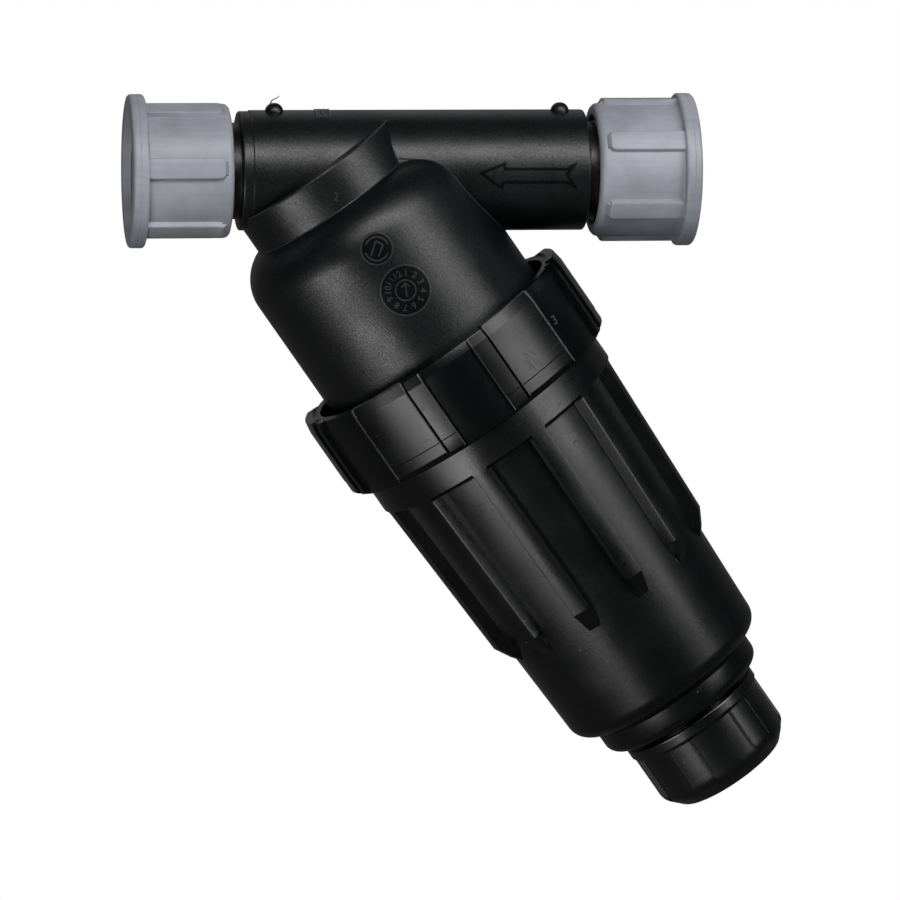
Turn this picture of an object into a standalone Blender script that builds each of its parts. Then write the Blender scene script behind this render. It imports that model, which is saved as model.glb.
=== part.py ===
"""In-line Y filter with a screen cartridge, 3/4 inch, for irrigation water.

The tube runs along X. The branch with the bowl leaves it at BRANCH_ANGLE below +X, in the XZ plane.
The origin is the centre of the inlet socket's mouth, and -Y is the front.
Branch pieces are drawn on the branch axis: z is the distance down it from where it crosses the tube.
"""
import math

import bmesh
import bpy
from mathutils import Matrix, Vector

for old in list(bpy.data.objects):
    bpy.data.objects.remove(old, do_unlink=True)

MM = 0.001
LARGE_SIDES = 42
SMALL_SIDES = 28
INNER_SIDES = 20
NUB_SIDES = 12
SHARP_ANGLE = 32.0
GAP = 0.3 * MM              # seating gap between pieces that touch
OVERCUT = 1.0 * MM          # how far a cutter runs past the face that it opens
EDGE_ROUND = 1.0 * MM
EDGE_BREAK = 0.5 * MM       # the smaller rounding of inner and less exposed edges

# Tube
BRANCH_ANGLE = 55.0
INLET_REACH = 94.5 * MM     # crossing to the inlet mouth
OUTLET_REACH = 46.3 * MM    # crossing to the outlet mouth
TUBE_RADIUS = 15.0 * MM
BORE_RADIUS = 9.5 * MM
NECK_RADIUS = 11.95 * MM    # thread run-out beside each shoulder
NECK_LENGTH = 2.6 * MM
SPIGOT_RADIUS = 12.5 * MM   # mean radius of the 3/4 inch outside thread
SPIGOT_LENGTH = 9.6 * MM    # threaded length past the neck
SHOULDER_GAP = 2.3 * MM     # shoulder to the end of the socket
COLLAR_LENGTH = 2.5 * MM
COLLAR_STEP = 0.25 * MM
NUB_RADIUS = 2.3 * MM
NUB_HEIGHT = 1.9 * MM
NUB_PLACES = (-10.2 * MM, 61.1 * MM)
NUB_ROUND = 1.7 * MM
NUB_FORWARD = 2.2 * MM

# Sockets
SOCKET_LENGTH = 25.0 * MM
SOCKET_RADIUS = 16.6 * MM
SOCKET_RIB_RADIUS = 17.85 * MM
SOCKET_RIB_WIDTH = 5.0 * MM
SOCKET_RIBS = 6
SOCKET_END_LEAD = 0.6 * MM  # slanted end of each rib
SOCKET_RIB_SHORT = 1.8 * MM # ribs stop this far before the socket's end
SOCKET_RIB_TAIL = 0.2 * MM  # how far a rib's end sinks into the wall
FLANGE_RADIUS = 19.0 * MM
FLANGE_WIDTH = 4.0 * MM
END_ROUND = 1.5 * MM
END_ARC = 80.0
THREAD_CLEARANCE = 0.3 * MM
MOUTH_RADIUS = 14.5 * MM
MOUTH_BEVEL = 1.7 * MM
STOP_WIDTH = 1.6 * MM
PORT_GASKET_WIDTH = 1.6 * MM
INLET_RIB_PHASE = -27.8
OUTLET_RIB_PHASE = 5.4

# Boss, dome and barrel
WALL = 3.2 * MM
BOSS_TOP = -0.8 * MM
BOSS_RADIUS = 22.8 * MM
BARREL_RADIUS = 30.6 * MM
DOME_ROUND = 11.8 * MM
DOME_TOP = 8.3 * MM
BARREL_END = 66.0 * MM
BARREL_LAND_LENGTH = 11.4 * MM
BARREL_THREAD_RISE = 1.9 * MM # mean height of the thread above the barrel
SEAT_BORE_RADIUS = 12.5 * MM
SEAT_WALL = 2.7 * MM
SEAT_FACE = 20.0 * MM
CHAMBER_TOP = -1.0 * MM
INLET_BORE_END = 27.0 * MM  # from the crossing, clear of the seat

# Ring nut
NUT_REACH = 15.0 * MM        # how far the nut stands up round the barrel
NUT_HEIGHT = 21.7 * MM
NUT_TURN = -4.1             # degrees that the nut stands turned from the front
NUT_WALL = 3.5 * MM         # outside the thread
LUG_HEIGHT = 1.7 * MM
LUG_STEP = 0.5 * MM         # how far a lug's side band lies below its panel
LUG_RISE = 0.7 * MM         # how far a lug stands above the ring's top
LUG_SHORT = 1.0 * MM        # how far it ends above the ring's bottom
LUG_BAND_RISE = 0.25 * MM
NUT_TOP_CHAMFER = 2.4 * MM
NUT_TOP_DRAFT = 0.5 * MM
NUT_HOLE_STEP = 0.6 * MM    # the hole at the top is this much wider than the thread
NUT_HOLE_DEPTH = 3.2 * MM
NUT_LIP_WIDTH = 1.1 * MM    # how far the lip reaches in under the bowl's flange
NUT_THREAD_SHORT = 1.5 * MM # the thread stops this far above the barrel's end
NUT_FLANGE_STEP = 1.6 * MM  # the room for the bowl's flange is this much wider
LUG_PANELS = ((19.0, 43.0), (75.0, 105.0), (137.0, 161.0))
LUG_BANDS = ((11.4, 21.0), (70.0, 77.0), (103.0, 110.0), (159.0, 168.6))

# Bowl
FLANGE_THICKNESS = 3.1 * MM
BAND_INSET = 2.4 * MM       # the band lies this far inside the nut's face
BAND_HEIGHT = 7.2 * MM
BAND_SLOPE = 0.8 * MM       # the band's lower face leans down to the wall
RIBS = 12
BOWL_TURN = -3.7            # degrees that the ribs stand turned from the front
RIB_WIDTH = 4.1 * MM        # across the top of a rib
RIB_DRAFT = 0.5 * MM        # each side widens by this much down to the wall
RIB_TIP_WIDTH = 3.0 * MM    # where the run-out meets the wall
RIB_SINK = 0.05 * MM        # the ribs lie this far below the band
RIB_HEIGHT = 3.45 * MM      # band's face above the wall
RIB_LEAN = 1.9 * MM         # how far a rib's top leans in down to its end
RIB_LENGTH = 43.6 * MM
RIB_RUNOUT = 5.9 * MM
BOWL_TAPER = 3.05 * MM
BOWL_LENGTH = 72.3 * MM     # from the band to the round bottom
BOWL_WALL = 2.8 * MM
BOWL_ROUND = 4.5 * MM
BOWL_ARC = 68.0
COLLAR_DROP = 5.3 * MM      # from the wall's end to the collar
COLLAR_STEP_IN = 5.05 * MM
COLLAR_ROUND = 3.4 * MM
COLLAR_HEIGHT = 6.95 * MM
FLOOR_DROP = 2.1 * MM       # from the wall's end to the floor inside
FLOOR_ROUND = 5.6 * MM
DRAIN_BORE_RADIUS = 11.0 * MM
DRAIN_THREAD_RADIUS = 15.2 * MM
RING_SECTION = 2.2 * MM     # width of the bowl's sealing ring
RING_HEIGHT = 1.8 * MM
RING_SECTION_SIDES = 8

# Drain cap
CAP_WALL = 2.75 * MM
CAP_RIM_STEP = 0.45 * MM
CAP_RIM_HEIGHT = 3.6 * MM
CAP_HEIGHT = 20.45 * MM
CAP_FLOOR = 2.6 * MM
CAP_BEVEL_WIDTH = 3.7 * MM
CAP_BEVEL_HEIGHT = 4.0 * MM
CAP_RECESSES = 6
CAP_RECESS_ANGLE = 41.0
CAP_RECESS_DEPTH = 0.7 * MM
CAP_TURN = 2.9              # degrees that the cap stands turned from the front
DRAIN_GASKET_WIDTH = 1.1 * MM

# Screen cartridge
SCREEN_RADIUS = 17.0 * MM   # inside radius of the mesh sleeve
SCREEN_THICKNESS = 0.5 * MM
CAGE_WALL = 2.2 * MM
CAGE_BARS = 6
CAGE_BAR_WIDTH = 3.4 * MM
CAGE_BAR_INSET = 0.3 * MM   # bars lie this far inside the hoops' faces
CAGE_HOOPS = 6
CAGE_HOOP_WIDTH = 2.6 * MM
COLLAR_BORE_RADIUS = 9.9 * MM
COLLAR_NECK_LENGTH = 7.5 * MM
SCREEN_COLLAR_WIDTH = 2.4 * MM
SKIRT_LENGTH = 4.0 * MM
SKIRT_WALL = 1.4 * MM
SEAL_WIDTH = 1.2 * MM
SEAL_RADIUS = 15.6 * MM
END_CAP_WIDTH = 2.2 * MM
PLUG_LENGTH = 4.0 * MM
FEET = 4
FOOT_HEIGHT = 5.1 * MM
FOOT_LENGTH_TANGENT = 5.0 * MM
FOOT_WIDTH_RADIAL = 2.4 * MM
FOOT_RADIUS = 16.2 * MM

# Sizes that follow
BRANCH_SLOPE = math.radians(BRANCH_ANGLE)
SHOULDER_IN = INLET_REACH - SOCKET_LENGTH - SHOULDER_GAP
SHOULDER_OUT = OUTLET_REACH - SOCKET_LENGTH - SHOULDER_GAP
SPIGOT_TIP = NECK_LENGTH + SPIGOT_LENGTH
SOCKET_BORE_RADIUS = SPIGOT_RADIUS + THREAD_CLEARANCE
STOP_INNER = SOCKET_LENGTH + SHOULDER_GAP - SPIGOT_TIP - PORT_GASKET_WIDTH - 2 * GAP
DOME_CENTRE_RADIUS = BARREL_RADIUS - DOME_ROUND
DOME_CENTRE = DOME_TOP + DOME_ROUND
CAVITY_RADIUS = BARREL_RADIUS - WALL
SEAT_RADIUS = SEAT_BORE_RADIUS + SEAT_WALL
BARREL_THREAD_TOP = BARREL_END - BARREL_LAND_LENGTH
BARREL_THREAD_RADIUS = BARREL_RADIUS + BARREL_THREAD_RISE
NUT_TOP = BARREL_END - NUT_REACH
NUT_END = NUT_TOP + NUT_HEIGHT
NUT_BORE_RADIUS = BARREL_THREAD_RADIUS + THREAD_CLEARANCE
NUT_HOLE_RADIUS = NUT_BORE_RADIUS + NUT_HOLE_STEP
NUT_RADIUS = NUT_BORE_RADIUS + NUT_WALL
LUG_RADIUS = NUT_RADIUS + LUG_HEIGHT
BOWL_TOP = BARREL_END + GAP
BOWL_NECK_TOP = BOWL_TOP + FLANGE_THICKNESS
NUT_LIP_TOP = BOWL_NECK_TOP + GAP
NUT_CHAMBER_RADIUS = NUT_BORE_RADIUS + NUT_FLANGE_STEP
BOWL_FLANGE_RADIUS = NUT_CHAMBER_RADIUS - GAP
NUT_LIP_RADIUS = NUT_CHAMBER_RADIUS - NUT_LIP_WIDTH
BOWL_NECK_RADIUS = NUT_LIP_RADIUS - GAP
BAND_TOP = NUT_END + GAP
BAND_END = BAND_TOP + BAND_HEIGHT
BAND_RADIUS = NUT_RADIUS - BAND_INSET
RIB_END = BAND_END + RIB_LENGTH
RIB_END_RADIUS = BAND_RADIUS - RIB_LEAN
BOWL_TOP_WALL_RADIUS = BAND_RADIUS - RIB_HEIGHT
BOWL_END_WALL_RADIUS = BOWL_TOP_WALL_RADIUS - BOWL_TAPER
BOWL_BORE_TOP = CAVITY_RADIUS
BOWL_BORE_END = BOWL_END_WALL_RADIUS - BOWL_WALL
BOWL_WALL_END = BAND_END + BOWL_LENGTH
RING_RADIUS = (CAVITY_RADIUS + BARREL_THREAD_RADIUS) / 2
COLLAR_TOP = BOWL_WALL_END + COLLAR_DROP
COLLAR_END = COLLAR_TOP + COLLAR_HEIGHT
COLLAR_RADIUS = BOWL_END_WALL_RADIUS - COLLAR_STEP_IN
FLOOR = BOWL_WALL_END + FLOOR_DROP
FLOOR_RADIUS = BOWL_BORE_END - FLOOR_ROUND
CAP_TOP = COLLAR_END + GAP
CAP_END = CAP_TOP + CAP_HEIGHT
CAP_BORE_RADIUS = DRAIN_THREAD_RADIUS + THREAD_CLEARANCE
CAP_RADIUS = CAP_BORE_RADIUS + CAP_WALL
CAP_RIM_RADIUS = CAP_RADIUS + CAP_RIM_STEP
CAP_INSIDE = CAP_END - CAP_FLOOR
DRAIN_END = CAP_INSIDE - 2 * GAP - DRAIN_GASKET_WIDTH
SEAL_TOP = SEAT_FACE + GAP
SCREEN_COLLAR_TOP = SEAL_TOP + SEAL_WIDTH + GAP
SCREEN_TOP = SCREEN_COLLAR_TOP + SCREEN_COLLAR_WIDTH + GAP
FOOT_END = FLOOR - GAP
END_CAP_TOP = FOOT_END - FOOT_HEIGHT - END_CAP_WIDTH
SCREEN_END = END_CAP_TOP - GAP
CAGE_RADIUS = SCREEN_RADIUS - GAP
SKIRT_BORE_RADIUS = SCREEN_RADIUS + SCREEN_THICKNESS + GAP
SKIRT_RADIUS = SKIRT_BORE_RADIUS + SKIRT_WALL


def material(name, colour, roughness):
    """A plain material of one colour."""
    made = bpy.data.materials.new(name)
    made.use_nodes = True
    shader = made.node_tree.nodes["Principled BSDF"]
    shader.inputs["Base Color"].default_value = (*colour, 1.0)
    shader.inputs["Roughness"].default_value = roughness
    shader.inputs["Metallic"].default_value = 0.0
    return made


MOULDED_BLACK = material("moulded_black", (0.018, 0.018, 0.020), 0.45)
GLOSS_BLACK = material("gloss_black", (0.012, 0.012, 0.013), 0.28)
SOCKET_GREY = material("socket_grey", (0.33, 0.34, 0.37), 0.5)
SEAL_RUBBER = material("seal_rubber", (0.02, 0.02, 0.02), 0.7)
CAGE_GREY = material("cage_grey", (0.12, 0.13, 0.15), 0.5)
SCREEN_STEEL = material("screen_steel", (0.55, 0.55, 0.53), 0.35)


def axis_empty(name, place, along, sideways):
    """An empty whose Z runs along a joint's axis and whose X points sideways."""
    z = Vector(along).normalized()
    x = Vector(sideways).normalized()
    y = z.cross(x)
    empty = bpy.data.objects.new(name, None)
    bpy.context.collection.objects.link(empty)
    turned_frame = Matrix((x, y, z)).transposed().to_4x4()
    empty.matrix_world = Matrix.Translation(place) @ turned_frame
    return empty


def place_solid(name, shape, stuff, axis):
    """Turn a bmesh into a named object on an axis."""
    bmesh.ops.recalc_face_normals(shape, faces=shape.faces)
    mesh = bpy.data.meshes.new(name)
    shape.to_mesh(mesh)
    shape.free()
    mesh.materials.append(stuff)
    solid = bpy.data.objects.new(name, mesh)
    bpy.context.collection.objects.link(solid)
    solid.parent = axis
    mesh.shade_smooth()
    mesh.set_sharp_from_angle(angle=math.radians(SHARP_ANGLE))
    return solid


def combine(base, tool, operation):
    """Boolean the tool into the base, and hide the tool."""
    step = base.modifiers.new(tool.name, "BOOLEAN")
    step.operation = operation
    step.solver = "EXACT"
    step.object = tool
    tool.hide_render = True
    tool.display_type = "WIRE"
    tool.hide_set(True)


def arc(centre, radius, start, end, steps):
    """Points of a (radius, z) profile on an arc; angles in degrees from +r towards +z."""
    points = []
    for i in range(steps + 1):
        angle = math.radians(start + (end - start) * i / steps)
        points.append((centre[0] + radius * math.cos(angle), centre[1] + radius * math.sin(angle)))
    return points


def turned(profile, sides):
    """A closed solid of revolution about Z. A profile that starts and ends at r = 0 is solid."""
    shape = bmesh.new()
    solid_core = profile[0][0] == 0.0
    rows = []
    for r, z in profile:
        if r == 0.0:
            rows.append([shape.verts.new((0.0, 0.0, z))])
            continue
        row = []
        for i in range(sides):
            angle = 2.0 * math.pi * i / sides
            row.append(shape.verts.new((r * math.cos(angle), r * math.sin(angle), z)))
        rows.append(row)
    pairs = list(zip(rows, rows[1:]))
    if not solid_core:
        pairs.append((rows[-1], rows[0]))
    for upper, lower in pairs:
        for i in range(sides):
            j = (i + 1) % sides
            if len(upper) == 1:
                shape.faces.new((upper[0], lower[i], lower[j]))
            elif len(lower) == 1:
                shape.faces.new((upper[i], lower[0], upper[j]))
            else:
                shape.faces.new((upper[i], lower[i], lower[j], upper[j]))
    return shape


def add_sector(shape, profile, start, end, steps):
    """Add a closed part of a ring, from start to end degrees about Z."""
    rows = []
    for k in range(steps + 1):
        angle = math.radians(start + (end - start) * k / steps)
        rows.append([shape.verts.new((r * math.cos(angle), r * math.sin(angle), z)) for r, z in profile])
    count = len(profile)
    for first, second in zip(rows, rows[1:]):
        for i in range(count):
            j = (i + 1) % count
            shape.faces.new((first[i], first[j], second[j], second[i]))
    shape.faces.new(rows[0][::-1])
    shape.faces.new(rows[-1])


def add_slab(shape, profile, width, angle):
    """Add a (radius, z) outline as a slab of even width, standing at an angle about Z."""
    turn = Matrix.Rotation(math.radians(angle), 3, "Z")
    near = [shape.verts.new(turn @ Vector((r, -width / 2, z))) for r, z in profile]
    far = [shape.verts.new(turn @ Vector((r, width / 2, z))) for r, z in profile]
    count = len(profile)
    for i in range(count):
        j = (i + 1) % count
        shape.faces.new((near[i], near[j], far[j], far[i]))
    shape.faces.new(near[::-1])
    shape.faces.new(far)


def add_rib(shape, stations, angle):
    """Add a tapered rib through stations of (z, foot radius, top radius, foot width, top width)."""
    turn = Matrix.Rotation(math.radians(angle), 3, "Z")
    rows = []
    for z, foot, top, foot_width, top_width in stations:
        corners = ((foot, -foot_width / 2), (top, -top_width / 2))
        corners += ((top, top_width / 2), (foot, foot_width / 2))
        rows.append([shape.verts.new(turn @ Vector((r, w, z))) for r, w in corners])
    for first, second in zip(rows, rows[1:]):
        for i in range(len(first)):
            j = (i + 1) % len(first)
            shape.faces.new((first[i], first[j], second[j], second[i]))
    shape.faces.new(rows[0][::-1])
    shape.faces.new(rows[-1])


CROSSING = Vector((-INLET_REACH, 0.0, 0.0))
BRANCH = Vector((math.cos(BRANCH_SLOPE), 0.0, -math.sin(BRANCH_SLOPE)))
BRANCH_SIDE = Vector((math.sin(BRANCH_SLOPE), 0.0, math.cos(BRANCH_SLOPE)))
FRONT = Vector((0.0, -1.0, 0.0))
INLET_AXIS = axis_empty("inlet_axis", (0.0, 0.0, 0.0), (1.0, 0.0, 0.0), FRONT)
OUTLET_MOUTH = CROSSING - Vector((OUTLET_REACH, 0.0, 0.0))
OUTLET_AXIS = axis_empty("outlet_axis", OUTLET_MOUTH, (-1.0, 0.0, 0.0), FRONT)
TUBE_AXIS = axis_empty("tube_axis", CROSSING, (1.0, 0.0, 0.0), FRONT)
BRANCH_AXIS = axis_empty("branch_axis", CROSSING, BRANCH, BRANCH_SIDE)
FRONT_ANGLE = 90.0          # the front as an angle about the branch axis


def front_angle(degrees):
    """Angle about the branch axis of a place this many degrees up from the front."""
    return FRONT_ANGLE - degrees


def tube_profile():
    """Half outline of the tube with its two threaded spigots, from outlet to inlet."""
    low = -SHOULDER_OUT
    high = SHOULDER_IN
    collar = TUBE_RADIUS - COLLAR_STEP
    outlet_end = [(0.0, low - SPIGOT_TIP), (SPIGOT_RADIUS - EDGE_ROUND, low - SPIGOT_TIP)]
    outlet_end += [(SPIGOT_RADIUS, low - SPIGOT_TIP + EDGE_ROUND), (SPIGOT_RADIUS, low - NECK_LENGTH)]
    outlet_end += [(NECK_RADIUS, low - NECK_LENGTH + COLLAR_STEP), (NECK_RADIUS, low)]
    outlet_end += arc((collar - EDGE_BREAK, low + EDGE_BREAK), EDGE_BREAK, -90, 0, 2)
    outlet_end += [(collar, low + COLLAR_LENGTH), (TUBE_RADIUS, low + COLLAR_LENGTH + COLLAR_STEP)]
    inlet_end = arc((TUBE_RADIUS - EDGE_BREAK, high - EDGE_BREAK), EDGE_BREAK, 0, 90, 2)
    inlet_end += [(NECK_RADIUS, high), (NECK_RADIUS, high + NECK_LENGTH - COLLAR_STEP)]
    inlet_end += [(SPIGOT_RADIUS, high + NECK_LENGTH), (SPIGOT_RADIUS, high + SPIGOT_TIP - EDGE_ROUND)]
    inlet_end += [(SPIGOT_RADIUS - EDGE_ROUND, high + SPIGOT_TIP), (0.0, high + SPIGOT_TIP)]
    return outlet_end + inlet_end


def branch_profile():
    """Half outline of the boss, the round dome and the barrel with its thread land."""
    boss_corner = math.degrees(math.acos((BOSS_RADIUS - DOME_CENTRE_RADIUS) / DOME_ROUND))
    outline = [(0.0, BOSS_TOP)]
    outline += arc((BOSS_RADIUS - EDGE_BREAK, BOSS_TOP + EDGE_BREAK), EDGE_BREAK, -90, 0, 2)
    outline += arc((DOME_CENTRE_RADIUS, DOME_CENTRE), DOME_ROUND, -boss_corner, 0, 6)
    land = BARREL_THREAD_RADIUS - BARREL_RADIUS
    outline += [(BARREL_RADIUS, BARREL_THREAD_TOP), (BARREL_THREAD_RADIUS, BARREL_THREAD_TOP + land / 2)]
    outline += [(BARREL_THREAD_RADIUS, BARREL_END - EDGE_ROUND)]
    outline += [(BARREL_THREAD_RADIUS - EDGE_ROUND, BARREL_END), (0.0, BARREL_END)]
    return outline


def cavity_profile():
    """Half outline of the hollow: seat chamber, ring space behind the seat, and the barrel's inside."""
    inner_round = DOME_ROUND - WALL
    ring_radius = BOSS_RADIUS - WALL
    ring_corner = math.degrees(math.acos((ring_radius - DOME_CENTRE_RADIUS) / inner_round))
    ring_top = BOSS_TOP + WALL
    outline = [(0.0, CHAMBER_TOP), (SEAT_BORE_RADIUS, CHAMBER_TOP), (SEAT_BORE_RADIUS, SEAT_FACE)]
    outline += [(SEAT_RADIUS, SEAT_FACE), (SEAT_RADIUS, ring_top)]
    outline += [(ring_radius - EDGE_ROUND, ring_top), (ring_radius, ring_top + EDGE_ROUND)]
    outline += arc((DOME_CENTRE_RADIUS, DOME_CENTRE), inner_round, -ring_corner, 0, 3)
    outline += [(CAVITY_RADIUS, BARREL_END + OVERCUT), (0.0, BARREL_END + OVERCUT)]
    return outline


def build_body():
    """One moulding: tube, boss, dome, barrel, seat and the two small nubs on top."""
    body = place_solid("filter_body", turned(tube_profile(), SMALL_SIDES), MOULDED_BLACK, TUBE_AXIS)
    branch = place_solid("body_branch", turned(branch_profile(), LARGE_SIDES), MOULDED_BLACK, BRANCH_AXIS)
    combine(body, branch, "UNION")
    base = TUBE_RADIUS - NUB_HEIGHT
    top = TUBE_RADIUS + NUB_HEIGHT
    nub = [(0.0, base), (NUB_RADIUS, base)]
    nub += arc((NUB_RADIUS - NUB_ROUND, top - NUB_ROUND), NUB_ROUND, 0, 90, 3)
    nub += [(0.0, top)]
    for name, place in zip(("nub_left", "nub_right"), NUB_PLACES):
        axis = axis_empty(name + "_axis", CROSSING + Vector((place, -NUB_FORWARD, 0.0)), (0, 0, 1), FRONT)
        combine(body, place_solid(name, turned(nub, NUB_SIDES), MOULDED_BLACK, axis), "UNION")
    hollow = place_solid("body_hollow", turned(cavity_profile(), SMALL_SIDES), MOULDED_BLACK, BRANCH_AXIS)
    far_out = -SHOULDER_OUT - SPIGOT_TIP - OVERCUT
    far_in = SHOULDER_IN + SPIGOT_TIP + OVERCUT
    for name, start, end in (("bore_out", far_out, BORE_RADIUS), ("bore_in", INLET_BORE_END, far_in)):
        bore = [(0.0, start), (BORE_RADIUS, start), (BORE_RADIUS, end), (0.0, end)]
        combine(hollow, place_solid(name, turned(bore, INNER_SIDES), MOULDED_BLACK, TUBE_AXIS), "UNION")
    combine(body, hollow, "DIFFERENCE")
    return body


def socket_profile():
    """Ring outline of a socket. z = 0 is its mouth, and it runs back to z = -SOCKET_LENGTH."""
    back = -SOCKET_LENGTH
    flange_back = -FLANGE_WIDTH
    outline = arc((FLANGE_RADIUS - EDGE_ROUND, -EDGE_ROUND), EDGE_ROUND, 90, 0, 2)
    outline += arc((FLANGE_RADIUS - EDGE_ROUND, flange_back + EDGE_ROUND), EDGE_ROUND, 0, -90, 2)
    outline += [(SOCKET_RADIUS, flange_back)]
    outline += arc((SOCKET_RADIUS - END_ROUND, back + END_ROUND), END_ROUND, 0, -END_ARC, 3)
    outline += [(SOCKET_BORE_RADIUS + EDGE_BREAK, back), (SOCKET_BORE_RADIUS, back + EDGE_BREAK)]
    stop_back = -STOP_INNER
    stop_front = stop_back + STOP_WIDTH
    outline += [(SOCKET_BORE_RADIUS, stop_back), (BORE_RADIUS, stop_back), (BORE_RADIUS, stop_front)]
    outline += [(SOCKET_BORE_RADIUS, stop_front), (SOCKET_BORE_RADIUS, -MOUTH_BEVEL), (MOUTH_RADIUS, 0.0)]
    return outline


def build_socket(name, axis, phase):
    """A grey threaded socket with a flange at its mouth and six ribs."""
    socket = place_solid(name, turned(socket_profile(), SMALL_SIDES), SOCKET_GREY, axis)
    ribs = bmesh.new()
    root = SOCKET_RADIUS - EDGE_ROUND
    rib_back = -SOCKET_LENGTH + SOCKET_RIB_SHORT
    front = -FLANGE_WIDTH / 2
    rib = [(root, front), (SOCKET_RIB_RADIUS, front), (SOCKET_RIB_RADIUS, rib_back + SOCKET_END_LEAD)]
    rib += [(SOCKET_RADIUS - SOCKET_RIB_TAIL, rib_back), (root, rib_back)]
    for i in range(SOCKET_RIBS):
        add_slab(ribs, rib, SOCKET_RIB_WIDTH, phase + 360.0 * i / SOCKET_RIBS)
    combine(socket, place_solid(name + "_ribs", ribs, SOCKET_GREY, axis), "UNION")
    return socket


def flat_ring(name, inner, outer, low, high, stuff, axis):
    """A flat washer or gasket between two heights."""
    ring = [(inner, low), (inner, high), (outer, high), (outer, low)]
    return place_solid(name, turned(ring, INNER_SIDES), stuff, axis)


def build_port_gasket(name, axis):
    """The gasket between a spigot's end and the stop inside its socket."""
    back = -STOP_INNER - GAP - PORT_GASKET_WIDTH
    return flat_ring(name, BORE_RADIUS, SPIGOT_RADIUS, back, back + PORT_GASKET_WIDTH, SEAL_RUBBER, axis)


def build_nut():
    """The ring nut: it screws on the barrel and its bottom lip holds the bowl's flange."""
    lip = NUT_LIP_TOP
    draft_radius = NUT_RADIUS - NUT_TOP_DRAFT
    outline = [(draft_radius, NUT_TOP), (NUT_RADIUS, NUT_TOP + NUT_TOP_CHAMFER)]
    outline += [(NUT_RADIUS, NUT_END - EDGE_BREAK), (NUT_RADIUS - EDGE_BREAK, NUT_END)]
    outline += [(NUT_LIP_RADIUS, NUT_END), (NUT_LIP_RADIUS, lip), (NUT_CHAMBER_RADIUS, lip)]
    thread_end = BARREL_END - NUT_THREAD_SHORT
    outline += [(NUT_CHAMBER_RADIUS, thread_end), (NUT_BORE_RADIUS, thread_end - EDGE_ROUND)]
    outline += [(NUT_BORE_RADIUS, NUT_TOP + NUT_HOLE_DEPTH + EDGE_BREAK)]
    outline += [(NUT_HOLE_RADIUS, NUT_TOP + NUT_HOLE_DEPTH), (NUT_HOLE_RADIUS, NUT_TOP)]
    nut = place_solid("ring_nut", turned(outline, LARGE_SIDES), GLOSS_BLACK, BRANCH_AXIS)
    root = NUT_RADIUS - EDGE_ROUND

    def lug_outline(radius, rise, short):
        top = NUT_TOP - rise
        end = NUT_END - short
        points = [(root, top), (radius - NUT_TOP_DRAFT, top), (radius, NUT_TOP + NUT_TOP_CHAMFER)]
        points += [(radius, end - EDGE_ROUND), (radius - EDGE_ROUND, end)]
        return points + [(root, end)]

    panel = lug_outline(LUG_RADIUS, LUG_RISE, LUG_SHORT)
    band = lug_outline(LUG_RADIUS - LUG_STEP, LUG_BAND_RISE, EDGE_BREAK)
    lugs = bmesh.new()
    bands = bmesh.new()
    for side in (-1, 1):
        for start, end in LUG_PANELS:
            ends = sorted((front_angle(NUT_TURN + side * start), front_angle(NUT_TURN + side * end)))
            add_sector(lugs, panel, *ends, 3)
        for start, end in LUG_BANDS:
            ends = sorted((front_angle(NUT_TURN + side * start), front_angle(NUT_TURN + side * end)))
            add_sector(bands, band, *ends, 2)
    combine(nut, place_solid("nut_bands", bands, GLOSS_BLACK, BRANCH_AXIS), "UNION")
    combine(nut, place_solid("nut_lugs", lugs, GLOSS_BLACK, BRANCH_AXIS), "UNION")
    return nut


def bowl_wall_radius(z):
    """Outside radius of the bowl's plain wall at a height."""
    share = (z - BAND_END) / (BOWL_WALL_END - BAND_END)
    return BOWL_TOP_WALL_RADIUS + share * (BOWL_END_WALL_RADIUS - BOWL_TOP_WALL_RADIUS)


def bowl_profile():
    """Ring outline of the bowl with its flange, band, round bottom, collar and drain spigot."""
    groove_low = BOWL_TOP + RING_HEIGHT + GAP
    groove_in = RING_RADIUS - RING_SECTION / 2 - GAP
    groove_out = RING_RADIUS + RING_SECTION / 2 + GAP
    outline = [(BOWL_BORE_TOP, BOWL_TOP), (groove_in, BOWL_TOP), (groove_in, groove_low)]
    outline += [(groove_out, groove_low), (groove_out, BOWL_TOP), (BOWL_FLANGE_RADIUS, BOWL_TOP)]
    outline += [(BOWL_FLANGE_RADIUS, BOWL_NECK_TOP), (BOWL_NECK_RADIUS, BOWL_NECK_TOP)]
    outline += [(BOWL_NECK_RADIUS, BAND_TOP), (BAND_RADIUS, BAND_TOP), (BAND_RADIUS, BAND_END)]
    outline += [(bowl_wall_radius(BAND_END), BAND_END + BAND_SLOPE)]
    corner = (BOWL_END_WALL_RADIUS - BOWL_ROUND, BOWL_WALL_END)
    outline += arc(corner, BOWL_ROUND, 0, BOWL_ARC, 3)
    outline += [(COLLAR_RADIUS, COLLAR_TOP)]
    outline += arc((COLLAR_RADIUS - COLLAR_ROUND, COLLAR_END - COLLAR_ROUND), COLLAR_ROUND, 0, 90, 3)
    outline += [(DRAIN_THREAD_RADIUS, COLLAR_END), (DRAIN_THREAD_RADIUS, DRAIN_END - EDGE_ROUND)]
    outline += [(DRAIN_THREAD_RADIUS - EDGE_ROUND, DRAIN_END), (DRAIN_BORE_RADIUS, DRAIN_END)]
    outline += [(DRAIN_BORE_RADIUS, FLOOR + WALL), (FLOOR_RADIUS - WALL, FLOOR)]
    outline += arc((FLOOR_RADIUS, FLOOR - FLOOR_ROUND), FLOOR_ROUND, 90, 0, 3)
    return outline


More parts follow.
